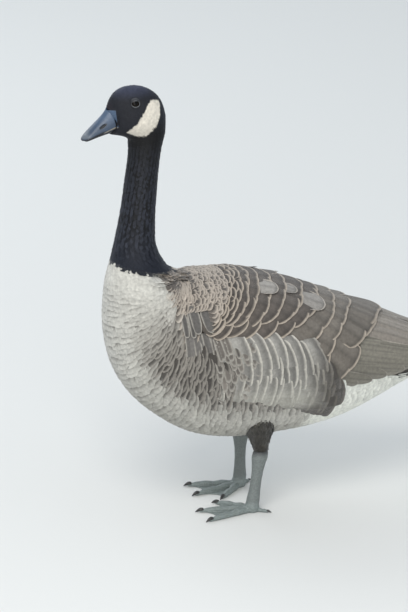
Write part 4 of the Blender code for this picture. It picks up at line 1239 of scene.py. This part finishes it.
def build_wing(side, bed, cover, finish):
    name = SIDE_NAMES[side]
    rng = np.random.default_rng(20 + side)
    template = feather_template(16, 13, 5)
    parts = []
    for k, tier in enumerate(WING_TIERS):
        parts.append(lay(bed.surface, template, tier.look, tier_feathers(bed, tier, rng), 40 + k, side))
    for row in BEND_ROWS:
        parts.append(lay(bed.surface, template, BEND_LOOK, bend_feathers(bed, row, rng), 39, side))
    small = feather_template(9, 9, 3)
    front = bed._replace(surface=cover)
    parts.append(lay(cover, small, BEND_LOOK, front_feathers(front, rng), 38, side))
    for k, at in enumerate(MANTLE_ROWS):
        tier = mantle_row(at)
        parts.append(lay(cover, small, tier.look, tier_feathers(front, tier, rng), 140 + k, side))
    made = coat_object("wing_feathers_" + name, parts, finish, 0.4)
    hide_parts("wing_" + name)
    return made


# The closed wing under its feathers: how many points it has along and round, its first and last y, how far
# it lies under their surface, how much further at its front, and its thickness
FILL_POINTS, FILL_SPAN = (60, 14), (-0.108, 0.325)
FILL_SUNK, FILL_FRONT_SUNK, FILL_THICK = 0.0012, 0.006, 0.0033


def build_wing_bed(side, bed, finish):
    """The closed wing under its feathers, which fills the gaps between them."""
    columns, rows = FILL_POINTS
    ys = np.linspace(*FILL_SPAN, columns)
    upper, lower = wing_edges(ys)
    angle = upper[:, None] + (lower - upper)[:, None] * np.linspace(0, 1, rows)
    y = np.repeat(ys, rows)
    u, v = on_bed(bed, y, angle.ravel())
    points = read(bed.surface, bed.surface.points, u, v)
    normals = unit(read(bed.surface, bed.surface.normals, u, v))
    sunk = (FILL_SUNK + FILL_FRONT_SUNK * (1 - ease(y, -0.104, -0.070)))[:, None]
    outer, inner = points - normals * sunk, points - normals * (sunk + FILL_THICK)
    bm = bmesh.new()
    rings = []
    for top, low in zip(*(layer.reshape(columns, rows, 3) for layer in (outer, inner))):
        loop = np.concatenate([top, low[::-1]]) * (side, 1, 1) + HEELS
        rings.append([bm.verts.new(p) for p in loop])
    tube(bm, rings)
    for ring in (rings[0], rings[-1]):
        for k in range(rows - 1):
            bm.faces.new((ring[k], ring[k + 1], ring[-2 - k], ring[-1 - k]))
    return solid_of("wing_bed_" + SIDE_NAMES[side], bm, finish, np.array(BROWN) * 0.6)


def tube(bm, rings):
    """Faces between closed rings of corners, each joined to the next."""
    for near, far in zip(rings, rings[1:]):
        for k in range(len(near)):
            n = (k + 1) % len(near)
            bm.faces.new((near[k], near[n], far[n], far[k]))


def solid_of(name, bm, finish, colours):
    """A closed piece with a colour for each of its corners, or one for all."""
    bmesh.ops.recalc_face_normals(bm, faces=bm.faces)
    made = object_of(name, bm, finish)
    paint(made.data, np.broadcast_to(colours, (len(made.data.vertices), 3)))
    return made


def object_of(name, bm, finish):
    mesh = bpy.data.meshes.new(name)
    bm.to_mesh(mesh)
    bm.free()
    mesh.shade_smooth()
    made = bpy.data.objects.new(name, mesh)
    bpy.context.scene.collection.objects.link(made)
    made.data.materials.append(finish)
    return made


# Flank feathers, which lie over the wing's lower edge: where each row's tips run from its top down, and
# how far apart the rows stand
FLANK_TIPS = ((0.010, 89), (0.034, 109), (0.038, 126), (0.026, 141), (0.002, 154))
FLANK_FIRST = -0.088
FLANK_LAST = 0.080
FLANK_STEP = 0.0129
FLANK_TOP = -0.030  # rows ahead of this have only their lower feathers
FLANK_SHIFTS = (-2, 3)  # how many degrees lower down the tips of even and of odd rows lie
# In the first row, and how much more in the last
FLANK_WIDTH, FLANK_LENGTH = (0.056, 0.008), (0.042, 0.030)


def build_flank(side, cover, bed, finish):
    """Rows of long, broad feathers over the lower edge of the closed wing."""
    name = SIDE_NAMES[side]
    rng = np.random.default_rng(60 + side)
    template = feather_template(14, 11, 5)
    cover_bed = bed._replace(surface=cover)
    parts = []
    starts = np.arange(FLANK_FIRST, FLANK_LAST + 0.001, FLANK_STEP)
    for k, start in enumerate(starts):
        share = k / (len(starts) - 1)
        count = 5 if share > 0.5 else 4
        line = [(start + dy, angle + FLANK_SHIFTS[k % 2]) for dy, angle in FLANK_TIPS[:count]]
        width, length = (least + more * share for least, more in (FLANK_WIDTH, FLANK_LENGTH))
        tier = Tier(
            count, line, (length, length), (width, width), (-18, 14), (-0.0012, 0.0016 + 0.0012 * share),
            FLANK, FLANK_EDGE, 0.0012, SIDE_LOOK,
        )
        feathers = tier_feathers(cover_bed, tier, rng)
        first = int(max(0, round((FLANK_TOP - start) / FLANK_STEP)))
        feathers = Feathers(*(field[min(first, count - 1):] for field in feathers))
        count = len(feathers.u)
        feathers = feathers._replace(rim_fade=np.full(count, 0.0032), shaft=np.full(count, 0.03))
        parts.append(fade_down(lay(cover, template, SIDE_LOOK, feathers, 80 + k, side)))
    return coat_object("flank_" + name, parts, finish, 0.6)


def fade_down(laid):
    """Lets the flank's marks fade into the belly's colour lower down, and its rear edge turn dark."""
    y, z = laid.points[:, 1], laid.points[:, 2]
    bright = laid.colours.mean(1) / np.mean(FLANK_EDGE)
    soft = np.array(LOW) * 1.15 * (0.62 + 0.38 * np.minimum(bright, 1))[:, None]
    colours = mix(laid.colours, soft, ease(-z, -0.212, -0.168))
    dark = np.maximum(ease(y, 0.048, 0.105), ease(-z, -0.166, -0.146) * ease(y, -0.005, 0.045))
    lobe = np.array(LOBE) + (np.array(LOBE_EDGE) - LOBE) * ease(bright, 0.65, 1.0)[:, None]
    return laid._replace(colours=mix(colours, lobe, dark))


# How far outside the wing's surface the search for the cover starts, how far it goes, and the deepest cover
COVER_FROM, COVER_REACH, COVER_DEEPEST = 0.03, 0.08, -0.05


def cover_surface(nodes, bed):
    """The outer surface of flesh and wing over the left side, on the wing bed's own grid."""
    tree = tree_of(nodes, ["torso", "neck", "wing_left"])
    points = bed.surface.points
    rows, columns = points.shape[:2]
    lift = np.zeros((rows, columns))
    for i in range(rows):
        for j in range(columns):
            out = bed.surface.normals[i, j]
            hit = tree.ray_cast(Vector(points[i, j] + out * COVER_FROM), Vector(-out), COVER_REACH)
            lift[i, j] = COVER_FROM - hit[3] if hit[0] is not None else 0.0
    spans = zip(bed.start, (rows, columns), bed.step)
    y, angle = (start + np.arange(count) * step for start, count, step in spans)
    over = ease(y, -0.105, -0.090)[:, None] * (1 - ease(angle, 70, 85))[None, :]
    least = COVER_DEEPEST - COVER_DEEPEST * over
    lift = np.maximum(lift, least)
    for _ in range(5):
        padded = np.pad(lift, 1, mode="edge")
        lift = (padded[:-2, 1:-1] + padded[2:, 1:-1] + padded[1:-1, :-2] + padded[1:-1, 2:] + 4 * lift) / 8
    return surface_of(points + bed.surface.normals * lift[..., None], False)


def build_tail(finish):
    """A fan of tail feathers, its middle pair on top."""
    along = np.linspace(0, TAIL_REACH, TAIL_CELLS + 1)
    across = np.linspace(-TAIL_HALF, TAIL_HALF, TAIL_CELLS + 1)
    a, x = np.meshgrid(along, across, indexing="ij")
    c, s = math.cos(TAIL_SLOPE), math.sin(TAIL_SLOPE)
    y = TAIL_ROOT[0] + a * c
    z = TAIL_ROOT[1] + a * s - 2.2 * x * x
    surface = surface_of(np.stack([x, y, z], -1), False)
    middle = TAIL_CELLS // 2
    if surface.normals[middle, middle, 2] < 0:
        surface = surface._replace(normals=-surface.normals)
    template = feather_template(12, 7, 3)
    parts = []
    for k in reversed(range(RECTRICES)):
        spread = (k + 0.5) * TAIL_SPREAD / RECTRICES
        start = TAIL_NARROW * (k + 0.5) * TAIL_ROOT_HALF / RECTRICES
        length = TAIL_LENGTH - 0.0018 * k - TAIL_HIDDEN
        for side in (1, -1):
            level = -0.0010 * k - (0.0005 if side < 0 else 0)
            beside = side * (start + TAIL_HIDDEN * math.sin(spread))
            feathers = feathers_of(
                u=[TAIL_HIDDEN / along[1]], v=[middle + beside / (across[1] - across[0])],
                slope=side * spread, length=length, width=0.023 - 0.0006 * k, root=level, tip=level + 0.0003,
                body=TAIL_BLACK, rim=TAIL_RIM, rim_width=0.0006, rim_fade=0.0012, shaft=0.5,
            )
            parts.append(lay(surface, template, TAIL_LOOK, feathers, 120 + k))
    made = coat_object("tail_feathers", parts, finish)
    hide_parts("tail")
    return made


def build_skin(body, head, finish):
    """One closed skin under all the feathers of head, neck and body."""
    surface = body.flesh
    depth = np.interp(body.ring, (0, 9, 15, 18, 31), (0.0006, 0.0011, 0.0016, 0.0034, 0.0034))
    points = surface.points - surface.normals * depth[:, None, None]
    bm = bmesh.new()
    grid = [[bm.verts.new(p + HEELS) for p in row] for row in points]
    tube(bm, grid)
    bm.faces.new(grid[0])
    bm.faces.new(grid[-1])
    flat = points.reshape(-1, 3)
    ring = np.repeat(body.ring, COLUMNS)
    angle = from_back(np.tile(np.arange(COLUMNS), len(points)))
    marks = markings(flat, ring, angle, head, np.random.default_rng(3))
    made = solid_of("skin", bm, finish, (marks.base * 0.3 + marks.rim * 0.7) * 0.85)
    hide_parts("torso", "neck", "head", "thigh_left", "thigh_right")
    return made


def remeshed(nodes, names, name, voxel, smooth, finish):
    """A smooth, fine copy of some CAD nodes as one mesh."""
    bm = bmesh.new()
    for node in names:
        bm.from_mesh(nodes[node].data)
    made = object_of(name, bm, finish)
    finer = made.modifiers.new("finer", "REMESH")
    finer.mode = "VOXEL"
    finer.voxel_size = voxel
    softer = made.modifiers.new("softer", "SMOOTH")
    softer.iterations = smooth
    softer.factor = 0.5
    graph = bpy.context.evaluated_depsgraph_get()
    mesh = bpy.data.meshes.new_from_object(made.evaluated_get(graph))
    made.modifiers.clear()
    made.data = mesh
    mesh.shade_smooth()
    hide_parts(*names)
    return made


def places_of(obj):
    co = np.empty(len(obj.data.vertices) * 3, np.float32)
    obj.data.vertices.foreach_get("co", co)
    return co.reshape(-1, 3).astype(float) - HEELS


# The bill: its colours, its nostril's middle ahead of the eyes and above them, and half its size there
BILL_BLUE = (0.044, 0.070, 0.116)
# Dark horn, also the painted shade in the nostril's opening
BILL_DARK = (0.014, 0.016, 0.021)
# A painted highlight on the top of the nail
BILL_NAIL_HIGHLIGHT = (0.115, 0.135, 0.160)
BILL_TAN = (0.26, 0.23, 0.18)
NOSTRIL_AT = (0.0487, -0.0203)
NOSTRIL_HALF = (0.0056, 0.0018)
BILL_SLOPE = math.radians(-21)
# The line between its halves: a place on it, above the eyes and ahead of them, and its slope
GAPE_AT, GAPE_FRONT, GAPE_SLOPE = -0.0292, 0.045, 0.16


def bill_colours(ahead, above):
    """Slate, lighter towards the top, with a painted highlight on the nail's top, a dark ellipse of painted
    shade in the nostril, a darker cutting edge, and a pale line at the gape.
    """
    x, y = ahead - NOSTRIL_AT[0], above - NOSTRIL_AT[1]
    c, s = math.cos(BILL_SLOPE), math.sin(BILL_SLOPE)
    out = np.hypot((x * c + y * s) / NOSTRIL_HALF[0], (y * c - x * s) / NOSTRIL_HALF[1])
    edge = above - GAPE_AT - GAPE_SLOPE * (GAPE_FRONT - ahead)
    colours = mix(np.array(BILL_BLUE) * 0.8, np.array(BILL_BLUE) * 1.25, ease(above, -0.024, -0.010))
    # The nail's top is lighter by a painted highlight
    colours = mix(colours, BILL_NAIL_HIGHLIGHT, ease(ahead, 0.066, 0.074) * ease(edge, 0.002, 0.005))
    # The nostril's opening is a dark ellipse of painted shade
    colours = mix(colours, BILL_DARK, 1 - ease(out, 0.8, 1.4))
    cutting_edge = (1 - ease(edge, 0.0012, 0.0040)) * ease(ahead, 0.046, 0.052)
    colours = mix(colours, BILL_DARK, np.maximum(cutting_edge, 1 - ease(edge, -0.0026, -0.0012)))
    gape = ease(-ahead, -0.051, -0.046) * (1 - ease(np.abs(edge), 0.0007, 0.0014))
    return mix(colours, BILL_TAN, gape)


def build_bill(nodes, head, finish):
    made = []
    for part in ("upper", "lower"):
        piece = remeshed(nodes, ["bill_" + part], "bill_horn_" + part, 0.00045, 6, finish)
        ahead, above, _ = in_head(head, places_of(piece))
        paint(piece.data, bill_colours(ahead, above))
        made.append(piece)
    return made


# The rear plate of the bill: how many of the body's rows it is sought on, how many finer rows to each, how
# many rows it runs on ahead of the face, and how far it rises over the skin and sinks into it
BASE_ROWS, BASE_FINE, BASE_AHEAD = 14, 8, 1.4
BASE_RISE, BASE_SINKS = 0.0005, 0.0014


def build_bill_base(body, head, finish):
    """The rear of the bill's horn, a thin plate on the face."""
    surface = body.flesh
    rows, columns = BASE_ROWS * BASE_FINE, COLUMNS * 4
    u, v = np.meshgrid(np.arange(rows) / BASE_FINE - BASE_AHEAD, np.arange(columns) / 4, indexing="ij")
    points = read(surface, surface.points, u.ravel(), v.ravel()).reshape(rows, columns, 3)
    normals = unit(read(surface, surface.normals, u.ravel(), v.ravel())).reshape(rows, columns, 3)
    first, second = (read(surface, surface.points, np.full(columns, n), v[0]) for n in (0.0, 1.0))
    ahead_of_face = np.maximum(-u, 0)[..., None]
    points = points + (first - second)[None] * ahead_of_face - normals * 0.0007 * ahead_of_face
    ahead, above, _ = in_head(head, points)
    chosen = inside(BILL_BASE, ahead, above)
    bm = bmesh.new()
    colours, known = [], {}

    def corner(i, k, level):
        key = (i, k % columns, level)
        if key not in known:
            place = points[i, key[1]] + normals[i, key[1]] * (BASE_RISE if level else -BASE_SINKS)
            known[key] = bm.verts.new(place + HEELS)
            colours.append(bill_colours(ahead[i, key[1]][None], above[i, key[1]][None])[0])
        return known[key]

    def cell(i, k):
        return 0 <= i < rows - 1 and chosen[i, k % columns] and chosen[i + 1, (k + 1) % columns]

    for i in range(rows - 1):
        for k in range(columns):
            if not cell(i, k):
                continue
            corners = ((i, k), (i, k + 1), (i + 1, k + 1), (i + 1, k))
            for level in (0, 1):
                bm.faces.new([corner(*c, level) for c in corners])
            beside = ((i - 1, k), (i, k + 1), (i + 1, k), (i, k - 1))
            for n, other in enumerate(beside):
                if not cell(*other):
                    a, b = corners[n], corners[(n + 1) % 4]
                    bm.faces.new((corner(*a, 1), corner(*b, 1), corner(*b, 0), corner(*a, 0)))
    return solid_of("bill_horn_base", bm, finish, np.array(colours))


# Each leg: its side, where its heel stands, and how many degrees its toes turn in
LEGS = {"left": (1, -0.004, 14), "right": (-1, 0.010, 15)}
FOOT_OUT = 0.050
# Each toe: how many degrees it spreads outward, its length and its thickness as a share
TOES = ((-32, 0.058, 1.0), (0, 0.074, 1.0), (31, 0.073, 1.0), (160, 0.023, 0.62))
# A claw's curve from its toe's tip: how far on, how high, and its half-thickness
CLAW = (
    (-0.0015, 0.0034, 0.0030),
    (0.0015, 0.0041, 0.0031),
    (0.0040, 0.0039, 0.0026),
    (0.0065, 0.0030, 0.0019),
    (0.0085, 0.0018, 0.0011),
    (0.0098, 0.0008, 0.0004),
)
CLAW_COLOUR = (0.030, 0.029, 0.028)


def build_claws(name, finish):
    """The blunt claws of one foot."""
    side, heel, toe_in = LEGS[name]
    sides = 14
    bm = bmesh.new()
    for spread, length, scale in TOES:
        turn = Matrix.Rotation(side * math.radians(spread - toe_in), 3, "Z")
        ahead = turn @ Vector((0, -1, 0))
        across = ahead.cross(Vector((0, 0, 1)))
        tip = Vector((side * FOOT_OUT, heel, 0)) + ahead * (length * 0.95 - (0.0008 if scale < 1 else 0))
        rings = []
        for along, high, thick in CLAW:
            centre = tip + (ahead * along + Vector((0, 0, high))) * scale + Vector(HEELS)
            ring = []
            for k in range(sides):
                a = 2 * math.pi * k / sides
                out = across * math.cos(a) * 0.85 + Vector((0, 0, math.sin(a)))
                ring.append(bm.verts.new(centre + out * thick * scale))
            rings.append(ring)
        tube(bm, rings)
        bm.faces.new(rings[0])
        bm.faces.new(rings[-1])
    return solid_of("claws_" + name, bm, finish, CLAW_COLOUR)


# The feet are lighter than the shanks by a painted light
SHANK_COLOUR, FOOT_COLOUR = (0.175, 0.195, 0.188), (0.22, 0.255, 0.245)
JOINT_COLOUR = (0.06, 0.062, 0.064)


def build_legs(nodes, finish):
    made = []
    for side in SIDE_NAMES.values():
        piece = remeshed(nodes, ["shank_" + side, "foot_" + side], "leg_" + side, 0.0008, 8, finish)
        height = places_of(piece)[:, 2]
        # Lighter feet below the shanks: painted light
        colours = mix(SHANK_COLOUR, FOOT_COLOUR, ease(-height, -0.02, -0.008))
        paint(piece.data, mix(colours, JOINT_COLOUR, ease(height, 0.078, 0.088)))
        made.append(piece)
    return made


# How many degrees each eye looks up and ahead of straight out, and its colours from its middle outward:
# pupil, iris and the rim under the lids
LOOKS_UP, LOOKS_AHEAD = math.radians(21), math.radians(3)
PUPIL, IRIS, EYE_RIM = (0.0025, 0.0025, 0.0025), (0.009, 0.006, 0.004), (0.003, 0.003, 0.003)


def build_eyes(head, finishes):
    """Each eye is a glossy ball in a soft ring of lids."""
    made = []
    for sign, side in SIDE_NAMES.items():
        low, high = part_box("eye_" + side)
        centre = (low + high) / 2
        radius = (high.z - low.z) / 2
        look = Vector(head.left * sign * math.cos(LOOKS_UP) + head.up * math.sin(LOOKS_UP))
        look = (look + Vector(head.ahead) * math.sin(LOOKS_AHEAD)).normalized()
        turn = look.to_track_quat("Z", "Y").to_matrix().to_4x4()
        at = Matrix.Translation(centre) @ turn
        bm = bmesh.new()
        bmesh.ops.create_uvsphere(bm, u_segments=48, v_segments=32, radius=radius, matrix=at)
        ball = object_of("eyeball_" + side, bm, finishes["eye"])
        rel = (places_of(ball) + HEELS - np.array(centre)) @ np.array(look)
        out = np.degrees(np.arccos(np.clip(rel / radius, -1, 1)))
        paint(ball.data, mix(mix(PUPIL, IRIS, ease(out, 22, 27)), EYE_RIM, ease(out, 40, 48)))
        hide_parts("eye_" + side)
        made += [ball, build_lids(side, sign, at, finishes["lid"])]
    return made


# The opening between an eye's lids: half its width, and its reach above and below its middle
LID_OPEN = (0.0055, 0.0037, 0.0040)
LID_MIDDLE = -0.0009  # how high its middle lies against the eye's
LID_OUTER = 0.0086  # how far out the lids reach
LID_BALL, LID_BALL_EDGE = 0.0078, 0.0077  # the ball they lie on, and how far out they follow it
LID_THICK = 0.0006
# The lids' dark skin, and the pale added to it: a paler lower edge, and painted highlights above
LID_DARK, LID_PALE_AND_HIGHLIGHT = np.array((0.013, 0.014, 0.018)), np.array((0.24, 0.25, 0.26))


def build_lids(side, behind, at, finish):
    """Bare lids on the ball of an eye: the opening is wider than high, its lower edge paler, with painted
    highlights along its upper edge and in an arc above it.
    """
    steps, rounds = 72, 16
    bm = bmesh.new()
    rings, colours = [], []
    for i in range(steps):
        a = 2 * math.pi * i / steps
        out = Vector((math.cos(a), math.sin(a), 0))
        wide, above, below = LID_OPEN
        high = above if out.y > 0 else below
        inner = wide * high / math.hypot(high * out.x, wide * out.y)
        # Paler at the lower and rear edge, and a painted highlight along the upper edge
        pale = max(0.0, min(1.0, 0.5 - 1.3 * out.y + 0.3 * behind * out.x)) + 0.45 * (abs(out.y - 1) < 0.15)
        ring = []
        for k in range(rounds):
            b = 2 * math.pi * k / rounds
            share = 0.5 - 0.5 * math.cos(b)
            flat = out * (inner + (LID_OUTER - inner) * share) + Vector((0, LID_MIDDLE * (1 - share), 0))
            from_axis = min(flat.length, LID_BALL_EDGE)
            rise = math.sqrt(max((LID_BALL + LID_THICK * 0.4) ** 2 - from_axis ** 2, 0.0))
            fold = 0.0003 * math.sin(share * 9.0) * (math.sin(b) > 0)
            ring.append(bm.verts.new(at @ (flat + Vector((0, 0, rise + LID_THICK * math.sin(b) + fold)))))
            edge = max(0.0, 1 - share / 0.22)
            # A painted highlight arcs over the eye in the upper lid's fold
            brow_highlight = max(0.0, out.y - 0.5) * max(0.0, 1 - abs(share - 0.62) / 0.16)
            colours.append(LID_DARK + LID_PALE_AND_HIGHLIGHT * (edge * pale + 0.7 * brow_highlight))
        rings.append(ring)
    tube(bm, rings + rings[:1])
    return solid_of("eyelids_" + side, bm, finish, np.array(colours))


# A thigh's surface: its rows and columns, how far out it is searched for, and how far out it is where no
# flesh is found
THIGH_GRID, THIGH_SEARCH, THIGH_LEAST = (28, 32), 0.06, 0.010
# Its feathers: how many down it and round it, their length, their width and their colours, upper and lower
THIGH_FEATHERS, THIGH_LENGTH, THIGH_WIDTH = (16, 22), 0.012, 0.0042
THIGH_UPPER, THIGH_LOWER = (0.060, 0.055, 0.045), (0.030, 0.027, 0.022)


def thigh_surface(side, nodes):
    """The thigh's surface round an upright line through the foot."""
    tree = tree_of(nodes, ["thigh_" + side])
    low, high = (corner - Vector(HEELS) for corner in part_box("thigh_" + side))
    rows, columns = THIGH_GRID
    points = np.zeros((rows, columns, 3))
    foot_y = sum(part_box("shank_" + side), Vector()).y / 2 + FEET_AHEAD
    for i, z in enumerate(np.linspace(high.z - 0.001, low.z + 0.0006, rows)):
        middle = Vector(((low.x + high.x) / 2, foot_y, z))
        for j in range(columns):
            a = 2 * math.pi * j / columns
            way = Vector((math.sin(a), math.cos(a), 0))
            hit = tree.ray_cast(middle + way * THIGH_SEARCH, -way, THIGH_SEARCH)
            reach = THIGH_SEARCH - hit[3] if hit[0] is not None else THIGH_LEAST
            points[i, j] = middle + way * reach
    surface = surface_of(points, True)
    if surface.normals[10, 8] @ np.array((1, 0, 0)) < 0:
        surface = surface._replace(normals=-surface.normals)
    return surface


def build_thigh(side, nodes, finish):
    """Short dark feathers down the leg to the heel joint."""
    rng = np.random.default_rng(90)
    surface = thigh_surface(side, nodes)
    (height, columns), (rows, around) = THIGH_GRID, THIGH_FEATHERS
    u = np.repeat(np.linspace(0, height - 3, rows), around)
    v = (np.tile(np.arange(around), rows) + 0.5 * np.repeat(np.arange(rows) % 2, around)) * columns / around
    count = len(u)
    base = mix(THIGH_UPPER, THIGH_LOWER, ease(u / height, 0.0, 0.3))
    base = base * (1 + 0.30 * rng.normal(size=(count, 1))).clip(0.4, 2.0)
    feathers = feathers_of(
        u=u, v=v, slope=0.12 * rng.normal(size=count),
        length=THIGH_LENGTH * (1 - 0.40 * u / height) * (1 + 0.22 * rng.normal(size=count)),
        width=THIGH_WIDTH, root=-0.0006, tip=0.0010 + 0.0004 * rng.normal(size=count),
        body=base, rim=base * 1.15, rim_width=0.0006, rim_fade=0.001, shaft=0.05,
    )
    laid = lay(surface, feather_template(4, 3, 1), SMALL, feathers, 7)
    return coat_object("thigh_coat_" + side, [laid], finish)


# Stage


FLOOR_COLOUR, SKY_COLOUR, SKY_STRENGTH = (0.72, 0.72, 0.70, 1), (0.86, 0.93, 1.0, 1), 0.76
# Each lamp: its place, where it points, its width, power and colour
LAMPS = {
    "key": ((2.3, -1.5, 3.2), (0, 0, 0.3), 2.2, 76, (1.0, 0.97, 0.93)),
    "fill": ((-2.4, -1.0, 2.0), (0, 0, 0.3), 2.5, 25, (0.92, 0.96, 1.0)),
    "front": ((3.9, -1.0, 0.9), (0, 0, 0.25), 2.6, 48, (1.0, 0.99, 0.96)),
}


def build_stage():
    bm = bmesh.new()
    bmesh.ops.create_grid(bm, x_segments=1, y_segments=1, size=30)
    object_of("floor", bm, Finish("floor", 0.9, Base_Color=FLOOR_COLOUR).made)
    world = bpy.data.worlds.new("studio")
    world.use_nodes = True
    fill(world.node_tree.nodes["Background"], {"Color": SKY_COLOUR, "Strength": SKY_STRENGTH})
    bpy.context.scene.world = world
    for name, lamp in LAMPS.items():
        add_light(name, *lamp)


def add_light(name, place, aim, size, power, colour):
    data = bpy.data.lights.new(name, "AREA")
    data.shape = "DISK"
    data.size = size
    data.energy = power
    data.color = colour
    light = bpy.data.objects.new(name, data)
    light.location = place
    light.rotation_euler = (Vector(aim) - Vector(place)).to_track_quat("-Z", "Y").to_euler()
    bpy.context.scene.collection.objects.link(light)


def add_camera():
    data = bpy.data.cameras.new("camera")
    data.lens = VIEW_LENS
    data.sensor_width = 36
    a, e = math.radians(VIEW_AZIMUTH), math.radians(VIEW_ELEVATION)
    toward = Vector((math.sin(a) * math.cos(e), -math.cos(a) * math.cos(e), math.sin(e)))
    camera = bpy.data.objects.new("camera", data)
    camera.location = Vector(VIEW_AT) + toward * VIEW_DISTANCE
    camera.rotation_euler = (-toward).to_track_quat("-Z", "Y").to_euler()
    bpy.context.scene.collection.objects.link(camera)
    bpy.context.scene.camera = camera


def main():
    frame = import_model()
    nodes = frame["nodes"]
    add_camera()
    build_stage()
    head = head_frame()
    body = build_body(nodes)
    bed = build_bed()
    finishes = {
        "sleek": plumage_material("sleek_plumage", 0.55, 0.0001, 0.05, (0.7, 0.78, 1.0), 0.22),
        "soft": plumage_material("soft_plumage", 0.85, 0.0004, 0.25),
        "quill": plumage_material("wing_plumage", 0.65, 0.0003, 0.15),
        "horn": painted_material("bill_horn", 0.38, 420, 0.0001),
        "leg": painted_material("leg_scales", 0.5, 620, 0.0004, cells=True),
        "eye": painted_material("eye_gloss", 0.06, 300, 0.0, IOR=1.22),
        "lid": painted_material("lid_skin", 0.5, 900, 0.0002),
        "skin": painted_material("skin_under_plumage", 0.9, 400, 0.0003),
    }
    horn = finishes["horn"]
    pieces = {
        "pale_plumage": [build_skin(body, head, finishes["skin"])],
        "black_plumage": [],
        "brown_plumage": [],
        "bill_horn": build_bill(nodes, head, horn) + [build_bill_base(body, head, horn)],
        "leg_skin": build_legs(nodes, finishes["leg"]),
        "eye": build_eyes(head, finishes),
    }
    pieces["bill_horn"] += [build_claws(name, horn) for name in LEGS]
    coat = build_coat(body, head, finishes)
    pieces["black_plumage"] += coat[:2] + [build_tail(finishes["quill"])]
    pieces["pale_plumage"] += coat[2:]
    cover = cover_surface(nodes, bed)
    for side, name in SIDE_NAMES.items():
        wing = build_wing(side, bed, cover, finishes["quill"])
        pieces["brown_plumage"] += [wing, build_wing_bed(side, bed, finishes["skin"])]
        flank = build_flank(side, cover, bed, finishes["soft"])
        pieces["pale_plumage"] += [flank, build_thigh(name, nodes, finishes["soft"])]
    for slot, made in pieces.items():
        for piece in made:
            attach(piece, "root")
    bpy.context.scene.view_settings.view_transform = "Standard"


main()
